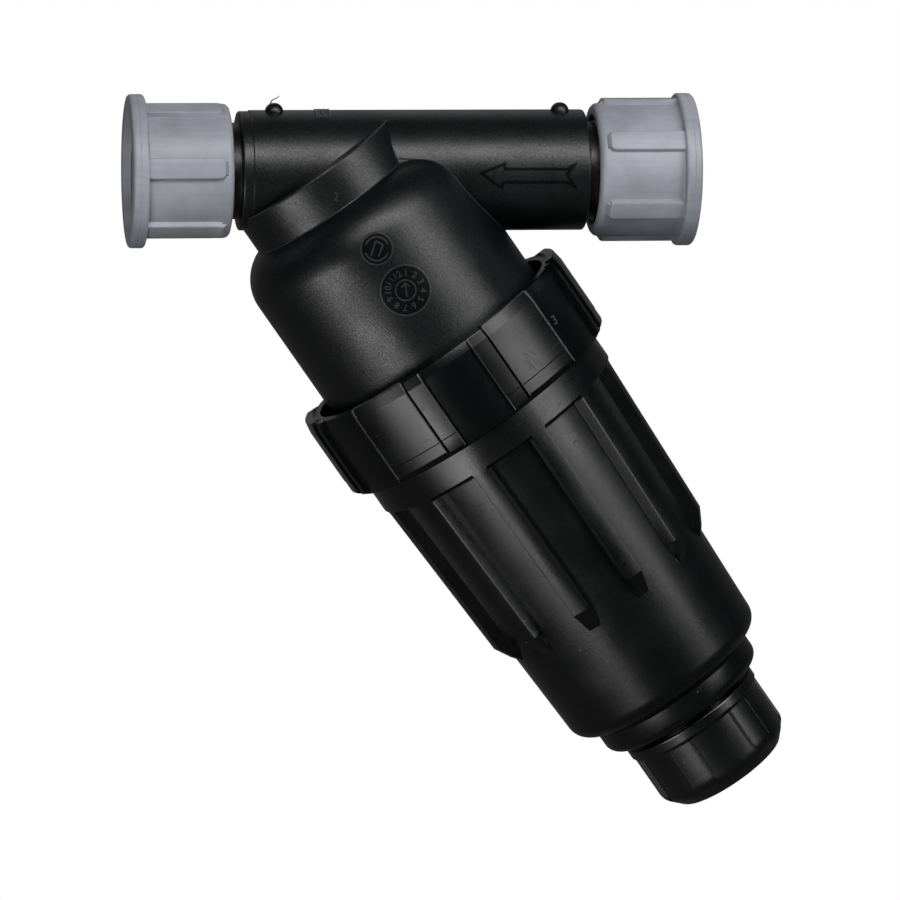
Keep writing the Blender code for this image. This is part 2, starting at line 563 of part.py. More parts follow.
def build_bowl():
    """The bowl: a tapered cup with twelve long ribs that run out into its wall."""
    bowl = place_solid("bowl", turned(bowl_profile(), LARGE_SIDES), MOULDED_BLACK, BRANCH_AXIS)
    runout = RIB_END + RIB_RUNOUT
    foot_width = RIB_WIDTH + 2.0 * RIB_DRAFT
    stations = []
    for z, top_radius in ((BAND_END - EDGE_ROUND, BAND_RADIUS - RIB_SINK), (RIB_END, RIB_END_RADIUS)):
        stations.append((z, bowl_wall_radius(z) - EDGE_ROUND, top_radius, foot_width, RIB_WIDTH))
    tip = bowl_wall_radius(runout)
    stations.append((runout, tip - EDGE_ROUND, tip - EDGE_BREAK / 2, RIB_TIP_WIDTH, RIB_TIP_WIDTH))
    ribs = bmesh.new()
    for i in range(RIBS):
        add_rib(ribs, stations, front_angle(BOWL_TURN + 360.0 * (i + 0.5) / RIBS))
    combine(bowl, place_solid("bowl_ribs", ribs, MOULDED_BLACK, BRANCH_AXIS), "UNION")
    return bowl


def build_bowl_ring():
    """The rubber ring that lies in the groove of the bowl's flange."""
    centre = (RING_RADIUS, BOWL_TOP + RING_HEIGHT / 2)
    section = []
    for i in range(RING_SECTION_SIDES):
        angle = 2.0 * math.pi * i / RING_SECTION_SIDES
        section.append((centre[0] + RING_SECTION / 2 * math.cos(angle),
                        centre[1] + RING_HEIGHT / 2 * math.sin(angle)))
    return place_solid("bowl_o_ring", turned(section, SMALL_SIDES), SEAL_RUBBER, BRANCH_AXIS)


def build_cap():
    """The drain cap, with six broad finger recesses below its rim."""
    low = CAP_TOP
    rim = low + CAP_RIM_HEIGHT
    outline = [(CAP_BORE_RADIUS, low), (CAP_RIM_RADIUS - EDGE_BREAK, low)]
    outline += [(CAP_RIM_RADIUS, low + EDGE_BREAK), (CAP_RIM_RADIUS, rim - EDGE_ROUND)]
    outline += [(CAP_RADIUS, rim)]
    outline += [(CAP_RADIUS, CAP_END - CAP_BEVEL_HEIGHT - EDGE_BREAK / 2)]
    outline += [(CAP_RADIUS - EDGE_BREAK / 2, CAP_END - CAP_BEVEL_HEIGHT + EDGE_BREAK / 2)]
    outline += [(CAP_RADIUS - CAP_BEVEL_WIDTH + EDGE_BREAK / 2, CAP_END - EDGE_BREAK / 2)]
    outline += [(CAP_RADIUS - CAP_BEVEL_WIDTH - EDGE_BREAK / 2, CAP_END), (0.0, CAP_END)]
    outline = [(0.0, CAP_INSIDE), (CAP_BORE_RADIUS, CAP_INSIDE)] + outline
    cap = place_solid("drain_cap", turned(outline, LARGE_SIDES), GLOSS_BLACK, BRANCH_AXIS)
    recesses = bmesh.new()
    floor = CAP_RADIUS - CAP_RECESS_DEPTH
    outside = CAP_RIM_RADIUS + OVERCUT
    top = rim + EDGE_BREAK
    cut = [(floor, top + EDGE_BREAK), (outside, top), (outside, CAP_END + OVERCUT)]
    cut += [(floor, CAP_END + OVERCUT)]
    for i in range(CAP_RECESSES):
        middle = front_angle(CAP_TURN + 360.0 * i / CAP_RECESSES)
        add_sector(recesses, cut, middle - CAP_RECESS_ANGLE / 2, middle + CAP_RECESS_ANGLE / 2, 5)
    combine(cap, place_solid("cap_recesses", recesses, GLOSS_BLACK, BRANCH_AXIS), "DIFFERENCE")
    return cap


def build_drain_gasket():
    """The gasket between the drain spigot's end and the cap's floor."""
    low = CAP_INSIDE - GAP - DRAIN_GASKET_WIDTH
    high = CAP_INSIDE - GAP
    outer = CAP_BORE_RADIUS - GAP
    return flat_ring("drain_gasket", DRAIN_BORE_RADIUS, outer, low, high, SEAL_RUBBER, BRANCH_AXIS)


def build_screen_collar():
    """The cartridge's top: a neck in the body's seat, a flange, and a skirt round the mesh."""
    neck = SEAT_BORE_RADIUS - GAP
    top = SCREEN_COLLAR_TOP - SEAL_WIDTH - 2 * GAP - COLLAR_NECK_LENGTH
    flange_low = SCREEN_TOP - GAP
    outline = [(COLLAR_BORE_RADIUS, top), (neck - EDGE_BREAK, top), (neck, top + EDGE_ROUND)]
    outline += [(neck, SCREEN_COLLAR_TOP), (SKIRT_RADIUS - EDGE_ROUND, SCREEN_COLLAR_TOP)]
    outline += [(SKIRT_RADIUS, SCREEN_COLLAR_TOP + EDGE_ROUND), (SKIRT_RADIUS, flange_low + SKIRT_LENGTH)]
    outline += [(SKIRT_BORE_RADIUS, flange_low + SKIRT_LENGTH), (SKIRT_BORE_RADIUS, flange_low)]
    outline += [(COLLAR_BORE_RADIUS, flange_low)]
    return place_solid("screen_collar", turned(outline, INNER_SIDES), CAGE_GREY, BRANCH_AXIS)


def build_collar_seal():
    """The seal between the body's seat face and the cartridge's flange."""
    low = SEAL_TOP
    high = SEAL_TOP + SEAL_WIDTH
    return flat_ring("collar_seal", SEAT_BORE_RADIUS, SEAL_RADIUS, low, high, SEAL_RUBBER, BRANCH_AXIS)


def build_cage():
    """The moulded cage inside the mesh: hoops joined by lengthwise bars."""
    inner = CAGE_RADIUS - CAGE_WALL
    pitch = (SCREEN_END - SCREEN_TOP - CAGE_HOOP_WIDTH) / (CAGE_HOOPS - 1)
    cage = None
    for i in range(CAGE_HOOPS):
        low = SCREEN_TOP + i * pitch
        high = low + CAGE_HOOP_WIDTH
        name = "screen_cage" if i == 0 else "cage_hoop_%d" % i
        hoop = flat_ring(name, inner, CAGE_RADIUS, low, high, CAGE_GREY, BRANCH_AXIS)
        if cage is None:
            cage = hoop
        else:
            combine(cage, hoop, "UNION")
    bars = bmesh.new()
    near = inner + CAGE_BAR_INSET
    far = CAGE_RADIUS - CAGE_BAR_INSET
    low = SCREEN_TOP + CAGE_HOOP_WIDTH / 2
    high = SCREEN_END - CAGE_HOOP_WIDTH / 2
    bar = [(near, low), (far, low), (far, high), (near, high)]
    for i in range(CAGE_BARS):
        add_slab(bars, bar, CAGE_BAR_WIDTH, 360.0 * i / CAGE_BARS)
    combine(cage, place_solid("cage_bars", bars, CAGE_GREY, BRANCH_AXIS), "UNION")
    return cage


def build_mesh():
    """The woven sleeve round the cage."""
    outer = SCREEN_RADIUS + SCREEN_THICKNESS
    return flat_ring("screen_mesh", SCREEN_RADIUS, outer, SCREEN_TOP, SCREEN_END, SCREEN_STEEL, BRANCH_AXIS)


def build_end_cap():
    """The cartridge's closed bottom, with a skirt round the mesh and four feet on the bowl's floor."""
    top = END_CAP_TOP
    low = top + END_CAP_WIDTH
    plug = CAGE_RADIUS - CAGE_WALL - GAP
    outline = [(0.0, top), (plug - SKIRT_WALL, top), (plug - SKIRT_WALL, top - PLUG_LENGTH)]
    outline += [(plug, top - PLUG_LENGTH), (plug, top), (SKIRT_BORE_RADIUS, top)]
    outline += [(SKIRT_BORE_RADIUS, top - SKIRT_LENGTH), (SKIRT_RADIUS, top - SKIRT_LENGTH)]
    outline += [(SKIRT_RADIUS, low - EDGE_ROUND), (SKIRT_RADIUS - EDGE_ROUND, low), (0.0, low)]
    end_cap = place_solid("screen_end_cap", turned(outline, INNER_SIDES), CAGE_GREY, BRANCH_AXIS)
    feet = bmesh.new()
    start = FOOT_RADIUS - FOOT_WIDTH_RADIAL / 2
    end = FOOT_RADIUS + FOOT_WIDTH_RADIAL / 2
    foot = [(start, low - EDGE_BREAK), (end, low - EDGE_BREAK), (end, FOOT_END), (start, FOOT_END)]
    for i in range(FEET):
        add_slab(feet, foot, FOOT_LENGTH_TANGENT, 360.0 * (i + 0.5) / FEET)
    combine(end_cap, place_solid("end_cap_feet", feet, CAGE_GREY, BRANCH_AXIS), "UNION")
    return end_cap


build_body()
build_socket("inlet_socket", INLET_AXIS, INLET_RIB_PHASE)
build_socket("outlet_socket", OUTLET_AXIS, OUTLET_RIB_PHASE)
build_port_gasket("inlet_gasket", INLET_AXIS)
build_port_gasket("outlet_gasket", OUTLET_AXIS)
build_nut()
build_bowl()
build_bowl_ring()
build_cap()
build_drain_gasket()
build_screen_collar()
build_collar_seal()
build_cage()
build_mesh()
build_end_cap()
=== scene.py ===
"""A 3/4 inch in-line screen filter: black moulded body, grey sockets, ring nut, ribbed bowl and drain cap.

Sizes are in millimetres unless a line says otherwise. The tube lies on the X axis, and the branch with the
bowl leaves it at 55 degrees below +X. Angles on the branch count from the front, up towards the right.
"""
from math import acos, asin, atan2, ceil, cos, degrees, hypot, pi, radians, sin, tan

import bmesh
import bpy
import numpy as np
from mathutils import Matrix, Vector


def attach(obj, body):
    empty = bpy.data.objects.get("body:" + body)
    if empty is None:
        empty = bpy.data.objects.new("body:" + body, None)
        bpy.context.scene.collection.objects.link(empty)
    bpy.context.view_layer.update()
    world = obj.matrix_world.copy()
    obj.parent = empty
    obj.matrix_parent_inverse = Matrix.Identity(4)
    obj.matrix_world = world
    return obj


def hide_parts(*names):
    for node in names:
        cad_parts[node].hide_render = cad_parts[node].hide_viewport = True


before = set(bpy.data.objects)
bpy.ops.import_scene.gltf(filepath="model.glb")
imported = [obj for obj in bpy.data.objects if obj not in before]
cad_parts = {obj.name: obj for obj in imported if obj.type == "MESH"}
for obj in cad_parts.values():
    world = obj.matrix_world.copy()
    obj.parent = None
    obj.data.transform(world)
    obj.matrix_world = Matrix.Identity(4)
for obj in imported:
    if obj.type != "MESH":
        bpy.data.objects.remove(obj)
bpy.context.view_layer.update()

# The body: one black moulding of tube, boss, round dome and barrel. It is injection moulded in
# polypropylene, with a threaded spigot at each end and the thread for the ring nut round the barrel.
MM = 0.001
BRANCH_SLOPE = radians(55.0)
CROSSING = Vector((-94.5, 0.0, 0.0)) * MM
TUBE_RADIUS, TUBE_START, TUBE_END = 15.0, -19.0, 67.2
STEP_RADIUS, STEP_END = 14.75, -16.4
SPIGOT_RADIUS, SPIGOT_LENGTH = 11.95, 12.2
PORT_BORE = 9.5
PORT_BORE_ENDS = ((-33.0, 9.5), (27.0, 81.0))
BOSS_RADIUS, BOSS_TOP = 22.8, -0.8
BARREL_RADIUS, BARREL_END = 30.6, 66.0
DOME_ROUND, DOME_CENTRE = 11.8, 20.1
DOME_MIDDLE = BARREL_RADIUS - DOME_ROUND
ROOT_RADIUS, ROOT_START = 31.6, 55.4
BARREL_BORE = 27.4
MOUTH_INNER, MOUTH_OUTER, MOUTH_TOP, MOUTH_FACE = 12.5, 15.2, 2.4, 20.0
PIPE_THREAD = {"pitch": 1.814, "foot": 1.5, "crest": 0.4}
CREASE = 34.0


def axes(place, along, sideways):
    """A frame whose Z runs along a piece's axis and whose X points sideways."""
    z = Vector(along).normalized()
    x = Vector(sideways).normalized()
    turned = Matrix((x, z.cross(x), z)).transposed().to_4x4()
    return Matrix.Translation(place) @ turned


DOWN_BRANCH = (cos(BRANCH_SLOPE), 0.0, -sin(BRANCH_SLOPE))
UP_BRANCH = (sin(BRANCH_SLOPE), 0.0, cos(BRANCH_SLOPE))
FRONT = (0.0, -1.0, 0.0)
BRANCH = axes(CROSSING, DOWN_BRANCH, UP_BRANCH)
TUBE = axes(CROSSING, (1, 0, 0), FRONT)


def arc(centre, radius, start, end, steps):
    """Points on an arc of a (radius, height) outline, in degrees from +radius towards +height."""
    angles = np.radians(np.linspace(start, end, steps + 1))
    return [(centre[0] + radius * cos(a), centre[1] + radius * sin(a)) for a in angles]


def rounded(corners, steps=3):
    """The outline through (radius, height, rounding) corners; each corner gives steps + 3 points."""
    outline = []
    for i, (r, z, size) in enumerate(corners):
        corner = Vector((r, z))
        back = Vector(corners[i - 1][:2]) - corner
        ahead = Vector(corners[(i + 1) % len(corners)][:2]) - corner
        shares = [0.49 if corners[j][2] else 0.98 for j in (i - 1, (i + 1) % len(corners))]
        reach = min(shares[0] * back.length, shares[1] * ahead.length)
        if size == 0 or reach < 1e-6:
            outline += [(r, z)] * (steps + 3)
            continue
        back.normalize()
        ahead.normalize()
        half = max(back.angle(ahead) / 2, 1e-3)
        cut_off = min(size / tan(half), reach)
        radius = cut_off * tan(half)
        middle = corner + (back + ahead).normalized() * (radius / sin(half))
        first = corner + back * cut_off - middle
        last = corner + ahead * cut_off - middle
        sweep = atan2(first.x * last.y - first.y * last.x, first.dot(last))
        flat = cut_off + min(0.6 * cut_off, reach - cut_off)
        outline.append(tuple(corner + back * flat))
        for k in range(steps + 1):
            c, s = cos(sweep * k / steps), sin(sweep * k / steps)
            outline.append((middle.x + c * first.x - s * first.y, middle.y + s * first.x + c * first.y))
        outline.append(tuple(corner + ahead * flat))
    return outline


def divided(outline, longest):
    """The outline with points added so that no step is longer than asked."""
    fine = []
    for (r0, z0), (r1, z1) in zip(outline, outline[1:]):
        count = max(1, ceil(hypot(r1 - r0, z1 - z0) / longest))
        fine += [(r0 + (r1 - r0) * k / count, z0 + (z1 - z0) * k / count) for k in range(count)]
    return fine + [outline[-1]]


def lathe(outline, sides=160):
    """A grid of points: the outline's rows turned about Z."""
    outline = np.array(outline, float)
    angle = np.linspace(0, 2 * pi, sides, endpoint=False)
    r = outline[:, :1]
    z = np.repeat(outline[:, 1:], sides, 1)
    return np.stack([r * np.cos(angle), r * np.sin(angle), z], 2)


def placed(name, data):
    """A new object of the scene."""
    made = bpy.data.objects.new(name, data)
    bpy.context.scene.collection.objects.link(made)
    return made


def tidy_mesh(mesh, sharp):
    """Merge points that meet, turn the faces outwards and smooth all but the sharp edges."""
    work = bmesh.new()
    work.from_mesh(mesh)
    bmesh.ops.remove_doubles(work, verts=work.verts, dist=2e-6)
    bmesh.ops.dissolve_degenerate(work, edges=work.edges, dist=1e-7)
    bmesh.ops.recalc_face_normals(work, faces=work.faces)
    work.to_mesh(mesh)
    work.free()
    mesh.shade_smooth()
    mesh.set_sharp_from_angle(angle=radians(sharp))


def skin(name, grid, place, sharp=CREASE):
    """A closed piece whose grid of points, in millimetres, joins up in both directions."""
    index = np.arange(grid.shape[0] * grid.shape[1]).reshape(grid.shape[:2])
    down = np.roll(index, -1, 0)
    faces = np.stack([index, down, np.roll(down, -1, 1), np.roll(index, -1, 1)], 2).reshape(-1, 4)
    mesh = bpy.data.meshes.new(name)
    mesh.from_pydata((grid.reshape(-1, 3) * MM).tolist(), [], faces.tolist())
    mesh.transform(place)
    tidy_mesh(mesh, sharp)
    return placed(name, mesh)


def plain_mesh(piece):
    """The mesh that a piece's modifiers or its curve give."""
    bpy.context.view_layer.update()
    return bpy.data.meshes.new_from_object(piece.evaluated_get(bpy.context.evaluated_depsgraph_get()))


def cut(base, tool, operation):
    """Join a tool to the base, or cut it away, and drop the tool."""
    step = base.modifiers.new("cut", "BOOLEAN")
    step.operation = operation
    step.solver = "EXACT"
    step.object = tool
    made = plain_mesh(base)
    base.modifiers.clear()
    base.data = made
    bpy.data.objects.remove(tool)


def join(base, *others, name=None):
    """Make several meshes one piece, and name it anew where asked."""
    work = bmesh.new()
    for piece in (base, *others):
        work.from_mesh(piece.data)
    work.to_mesh(base.data)
    work.free()
    for piece in others:
        bpy.data.objects.remove(piece)
    base.data.shade_smooth()
    base.data.set_sharp_from_angle(angle=radians(CREASE))
    if name:
        base.name = base.data.name = name
    return base


def feed(tree, socket, value):
    """Link a socket to a node or an output, or give it a value or a colour."""
    if isinstance(value, bpy.types.Node):
        value = value.outputs[0]
    if isinstance(value, bpy.types.NodeSocket):
        tree.links.new(value, socket)
    else:
        socket.default_value = (*value, 1.0) if socket.type == "RGBA" else value


def node(tree, kind, *first, **values):
    """A node: its first inputs in order, then its other inputs and its settings by name."""
    made = tree.nodes.new(kind)
    inputs = dict(enumerate(first))
    for key, value in values.items():
        socket = key.replace("_", " ").title()
        if socket in made.inputs:
            inputs[socket] = value
        else:
            setattr(made, key, value)
    for socket, value in inputs.items():
        feed(tree, made.inputs[socket], value)
    return made


def maths(tree, operation, *values):
    """A Math node on numbers or links."""
    return node(tree, "ShaderNodeMath", *values, operation=operation)


def mixed(tree, share, first, second, **settings):
    """The colour that a Mix node makes of two colours."""
    mix = node(tree, "ShaderNodeMix", share, data_type="RGBA", **settings)
    feed(tree, mix.inputs[6], first)
    feed(tree, mix.inputs[7], second)
    return mix.outputs[2]


def new_stuff(name):
    """A new material, its node tree, and a function that feeds its shader's sockets."""
    stuff = bpy.data.materials.new(name)
    stuff.use_nodes = True
    tree = stuff.node_tree
    return stuff, tree, lambda socket, value: feed(tree, tree.nodes["Principled BSDF"].inputs[socket], value)


BRANCH_TURN = (0.0, BRANCH_SLOPE - radians(90.0), 0.0)
NOISE = (0.3, 0.7)
DUST = (0.22, 0.22, 0.21)


def moulded_plastic(name, colour, roughness, grain, grain_height, turn=BRANCH_TURN, streak=0.0, specks=0.0,
                    level=0.5):
    """Moulded plastic: fine grain, soft mottling, flow streaks along the mould and a few specks of dust."""
    stuff, tree, shader = new_stuff(name)
    here = node(tree, "ShaderNodeTexCoord").outputs["Object"]
    turned = node(tree, "ShaderNodeMapping", here, rotation=turn)
    stretched = node(tree, "ShaderNodeMapping", turned, scale=(900.0, 900.0, 40.0))
    fine = node(tree, "ShaderNodeTexNoise", turned, scale=1000.0 / grain, detail=3.0, roughness=0.6)
    broad = node(tree, "ShaderNodeTexNoise", turned, scale=70.0, detail=4.0, roughness=0.55)
    flow = node(tree, "ShaderNodeTexNoise", stretched, scale=1.0, detail=3.0, roughness=0.6)
    tone = node(tree, "ShaderNodeMapRange", broad, *NOISE, 0.82, 1.22)
    streaks = node(tree, "ShaderNodeMapRange", flow, *NOISE, 1.0 - streak, 1.0 + streak)
    shade = mixed(tree, 1.0, colour, maths(tree, "MULTIPLY", tone, streaks), blend_type="MULTIPLY")
    if specks:
        dots = node(tree, "ShaderNodeTexVoronoi", turned, scale=260.0)
        near = maths(tree, "LESS_THAN", dots, 0.045)
        tint = node(tree, "ShaderNodeSeparateColor", dots.outputs["Color"])
        few = maths(tree, "GREATER_THAN", tint, 1.0 - specks)
        shade = mixed(tree, maths(tree, "MULTIPLY", near, few), shade, DUST)
    shader("Base Color", shade)
    shader("Roughness", node(tree, "ShaderNodeMapRange", broad, *NOISE, roughness - 0.05, roughness + 0.06))
    swing = min(0.55, 9.0 * grain_height)
    shader("Specular IOR Level",
           node(tree, "ShaderNodeMapRange", fine, 0.32, 0.68, level * (1 - swing), level * (1 + swing)))
    heights = maths(tree, "MULTIPLY_ADD", flow, 4.0 * streak, fine)
    shader("Normal", node(tree, "ShaderNodeBump", strength=1.0, distance=grain_height * MM, height=heights))
    return stuff


def finish_piece(piece, stuff, body, slot, *nodes):
    """Give a piece its material and its body, and let it stand for its CAD nodes. The slot is not used."""
    piece.data.materials.clear()
    piece.data.materials.append(stuff)
    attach(piece, body)
    if nodes:
        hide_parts(*nodes)


body_black = moulded_plastic("body_black", (0.0026, 0.0032, 0.0037), roughness=0.37, grain=0.42,
                             grain_height=0.042, streak=0.05, specks=0.02)
tube_outline = rounded([
    (0, TUBE_START - SPIGOT_LENGTH, 0), (SPIGOT_RADIUS, TUBE_START - SPIGOT_LENGTH, 0.9),
    (SPIGOT_RADIUS, TUBE_START, 0.2), (STEP_RADIUS, TUBE_START, 0.45), (STEP_RADIUS, STEP_END, 0.1),
    (TUBE_RADIUS, STEP_END + 0.2, 0.1), (TUBE_RADIUS, TUBE_END, 0.5), (SPIGOT_RADIUS, TUBE_END, 0.2),
    (SPIGOT_RADIUS, TUBE_END + SPIGOT_LENGTH, 0.9), (0, TUBE_END + SPIGOT_LENGTH, 0)])
body = skin("body_moulding", lathe(divided(tube_outline, 4.0), 144), TUBE)
boss_corner = degrees(acos((BOSS_RADIUS - DOME_MIDDLE) / DOME_ROUND))
dome = arc((DOME_MIDDLE, DOME_CENTRE), DOME_ROUND, -boss_corner, 0, 20)
DOME_TOP = dome[0][1]
branch_corners = [(0, BOSS_TOP, 0), (BOSS_RADIUS, BOSS_TOP, 0.35), (*dome[0], 0.3)]
branch_corners += [(r, z, 0) for r, z in dome[1:]]
branch_corners += [(BARREL_RADIUS, ROOT_START - 0.8, 0.3), (ROOT_RADIUS, ROOT_START, 0.3),
                   (ROOT_RADIUS, BARREL_END, 0.9), (0, BARREL_END, 0)]
cut(body, skin("branch", lathe(divided(rounded(branch_corners), 3.0), 192), BRANCH), "UNION")
hollow_outline = rounded([
    (0, -1.0, 0), (MOUTH_INNER, -1.0, 0.6), (MOUTH_INNER, MOUTH_FACE, 0.3), (MOUTH_OUTER, MOUTH_FACE, 0.3),
    (MOUTH_OUTER, MOUTH_TOP, 0.5), (19.6, MOUTH_TOP, 0.8), (19.6, 11.6, 0.5), (24.0, 13.3, 2.0),
    (BARREL_BORE, DOME_CENTRE, 4.0), (BARREL_BORE, BARREL_END + 1.0, 0), (0, BARREL_END + 1.0, 0)])
hollow = skin("hollow", lathe(hollow_outline, 128), BRANCH)
for start, end in PORT_BORE_ENDS:
    bore = rounded([(0, start, 0), (PORT_BORE, start, 0), (PORT_BORE, end, 0), (0, end, 0)], 1)
    cut(hollow, skin("bore", lathe(bore, 96), TUBE), "UNION")
cut(body, hollow, "DIFFERENCE")


def on_tube(along, round_up, height):
    """A point on the tube's skin: millimetres along it, round it towards the top, and above it."""
    a = -round_up / TUBE_RADIUS
    r = TUBE_RADIUS + height
    return TUBE @ (Vector((r * cos(a), r * sin(a), along)) * MM)


def on_branch(radius, z, turn):
    """The skin round (z, turn) on a cylinder of the branch: across to the right, up, and above it."""
    def point(across, up, height):
        side = across * sin(BRANCH_SLOPE) + up * cos(BRANCH_SLOPE)
        down = across * cos(BRANCH_SLOPE) - up * sin(BRANCH_SLOPE)
        a = radians(90.0 - turn) - side / radius
        r = radius + height
        return BRANCH @ (Vector((r * cos(a), r * sin(a), z + down)) * MM)
    return point


def unit(rows):
    """Rows of numbers, each made one long."""
    return rows / np.maximum(np.linalg.norm(rows, axis=1), 1e-6)[:, None]


def bead(name, path, width, height, where, closed=True):
    """A low raised line that follows a flat path laid on a skin."""
    fine = np.array(divided([*path, path[0]], 0.6)[:-1] if closed else divided(path, 0.6))
    ahead = np.roll(fine, -1, 0) - fine
    back = fine - np.roll(fine, 1, 0)
    if not closed:
        ahead[-1], back[0] = back[-1], ahead[0]
    ahead, back = unit(ahead), unit(back)
    lean = unit(ahead + back)
    side = np.stack([-lean[:, 1], lean[:, 0]], 1) / np.clip((lean * ahead).sum(1), 0.5, 1)[:, None]
    section = ((-0.5, -0.3), (-0.42, 0.25), (-0.22, 1.0), (0.22, 1.0), (0.42, 0.25), (0.5, -0.3))
    points, faces = [], []
    for p, s in zip(fine, side):
        points += [where(*(p + s * width * w), height * h) for w, h in section]
    n = len(section)
    for i in range(len(fine) if closed else len(fine) - 1):
        j = (i + 1) % len(fine)
        faces += [(i * n + k, i * n + (k + 1) % n, j * n + (k + 1) % n, j * n + k) for k in range(n)]
    if not closed:
        faces += [tuple(range(n)), tuple(reversed(range((len(fine) - 1) * n, len(fine) * n)))]
    mesh = bpy.data.meshes.new(name)
    mesh.from_pydata(points, [], faces)
    tidy_mesh(mesh, 60.0)
    return placed(name, mesh)


HEXAGON = np.radians(range(0, 360, 60))


def wire(name, path, radius, place):
    """A thin six-sided line through points of a frame; the radius may vary along it."""
    path = np.array(path, float)
    ahead = np.gradient(path, axis=0)
    lift = unit(np.cross(ahead, (0.13, 0.96, 0.24)))
    side = unit(np.cross(ahead, lift))
    rows = [[path[0]] * 6]
    for p, u, v, r in zip(path, lift, side, np.broadcast_to(radius, len(path))):
        rows.append([p + r * (cos(a) * u + sin(a) * v) for a in HEXAGON])
    rows.append([path[-1]] * 6)
    return skin(name, np.array(rows), place, 60.0)


def round_branch(radius, psi, z):
    """A point of the branch frame at an angle from the front."""
    a = radians(90.0 - psi)
    return (radius * cos(a), radius * sin(a), z)


def scratches(seed, count, psi, z, length, skin_radius, level):
    """Fine scratches at random places: thin lines that stand just proud of the skin."""
    draw = np.random.default_rng(seed)
    lines = []
    for i in range(count):
        middle, height = draw.uniform(*psi), draw.uniform(*z)
        reach = draw.uniform(*length) / 2
        slope = level + draw.normal(0.0, 0.10)
        path = []
        for s in np.linspace(-reach, reach, 7):
            r = skin_radius(height + s * sin(slope))
            turn = middle + degrees(s * cos(slope) / r)
            path.append(round_branch(r, turn, height + s * sin(slope)))
        thick = draw.uniform(0.035, 0.07) * np.sin(np.linspace(0.25, pi - 0.25, 7))
        lines.append(wire("scratch", path, thick, BRANCH))
    return lines


def raised_number(text, size, height, where, turn=0.0, at=(0.0, 0.0)):
    """A raised number laid on a skin, turned about its own middle."""
    letters = bpy.data.curves.new("number", "FONT")
    letters.body = text
    letters.size = size
    letters.align_x = letters.align_y = "CENTER"
    letters.extrude = height / 2
    letters.resolution_u = 3
    flat = placed("number", letters)
    mesh = plain_mesh(flat)
    bpy.data.objects.remove(flat)
    c, s = cos(turn), sin(turn)
    for v in mesh.vertices:
        x, y, z = v.co
        v.co = where(at[0] + c * x - s * y, at[1] + s * x + c * y, z + height * 0.35)
    tidy_mesh(mesh, 40.0)
    return placed("number", mesh)


def circle(radius, count=40, start=0.0, end=360.0):
    """Points round a circle on a skin."""
    angles = np.radians(np.linspace(start, end, count, endpoint=end - start < 359.9))
    return [(radius * cos(a), radius * sin(a)) for a in angles]


# Raised marks of the mould: the flow arrow on the tube, a small square beside the boss, a number on
# the boss and two round inserts on the barrel, the larger one with numbers and a pointer.
ONE_UP = TUBE_RADIUS * radians(1.0)
FLOW_ARROW = ((39.75, 0.6), (45.6, 9.0), (45.6, 4.2), (61.0, 4.0), (63.2, 8.7), (61.0, -0.7), (63.2, -12.9),
              (61.1, -8.3), (45.2, -8.1), (44.9, -13.9))
SQUARE = ((-0.1, 82), (3.3, 82), (3.3, 65), (-0.1, 65))
SQUARE_BAR = ((1.6, 80), (1.6, 68))
SMALL_INSERT, LARGE_INSERT = 3.9, 6.15
small_insert = on_branch(BARREL_RADIUS, 20.9, -0.4)
large_insert = on_branch(BARREL_RADIUS, 33.3, -0.4)


def up_tube(path):
    """A path of (along, degrees up from the front) points as millimetres on the tube's skin."""
    return [(x, turn * ONE_UP) for x, turn in path]


arrow = bead("arrow", up_tube(FLOW_ARROW), 0.80, 0.26, on_tube)
marks = [bead("mark", *stroke) for stroke in (
    (up_tube(SQUARE), 0.7, 0.5, on_tube),
    (up_tube(SQUARE_BAR), 0.7, 0.4, on_tube, False),
    (circle(SMALL_INSERT), 0.55, 0.25, small_insert),
    (circle(2.9, 30, 20, 160), 0.5, 0.25, small_insert, False),
    (circle(2.9, 30, 200, 340), 0.5, 0.25, small_insert, False),
    ([(-1.4, -1.7), (-0.3, 1.9)], 0.55, 0.28, small_insert, False),
    ([(-0.3, 1.9), (1.5, 0.9)], 0.55, 0.28, small_insert, False),
    ([(1.5, 0.9), (0.4, -1.9)], 0.5, 0.28, small_insert, False),
    (circle(LARGE_INSERT, 64), 0.5, 0.22, large_insert),
    (circle(2.5, 36), 0.45, 0.25, large_insert),
    ([(0.35, -1.6), (-0.2, 1.7)], 0.5, 0.3, large_insert, False),
    ([(-1.0, 0.7), (-0.2, 1.8), (0.9, 0.9)], 0.5, 0.3, large_insert, False))]
marks.append(raised_number("2", 3.0, 0.30, on_branch(BOSS_RADIUS, 5.75, -1.7)))
for i in range(12):
    a = radians(90 - 30 * i)
    spot = (4.2 * cos(a), 4.2 * sin(a))
    marks.append(raised_number(str(i + 1), 2.3, 0.30, large_insert, a - pi / 2, spot))

# The two small nubs on top of the tube are the stubs of the mould's gates, left where the runners
# were cut off. The left one still has a hair of flash.
stubs = []
for name, place in (("nub_left", -10.2), ("nub_right", 61.1)):
    nub = rounded([(0, 12.5, 0), (2.3, 12.5, 0), (2.3, 16.9, 2.2), (0, 16.9, 0)], 8)
    upright = axes(CROSSING + Vector((place, -2.2, 0.0)) * MM, (0, 0, 1), FRONT)
    stubs.append(skin(name, lathe(nub, 40), upright, 60.0))
hair = [(-11.3, -3.2, 16.6), (-10.9, -3.3, 17.5), (-10.2, -3.3, 17.9), (-9.5, -3.4, 18.2), (-9.0, -3.5, 18.7)]
stubs.append(wire("hair", hair, (0.16, 0.15, 0.13, 0.11, 0.08), Matrix.Translation(CROSSING)))
join(body, *stubs)


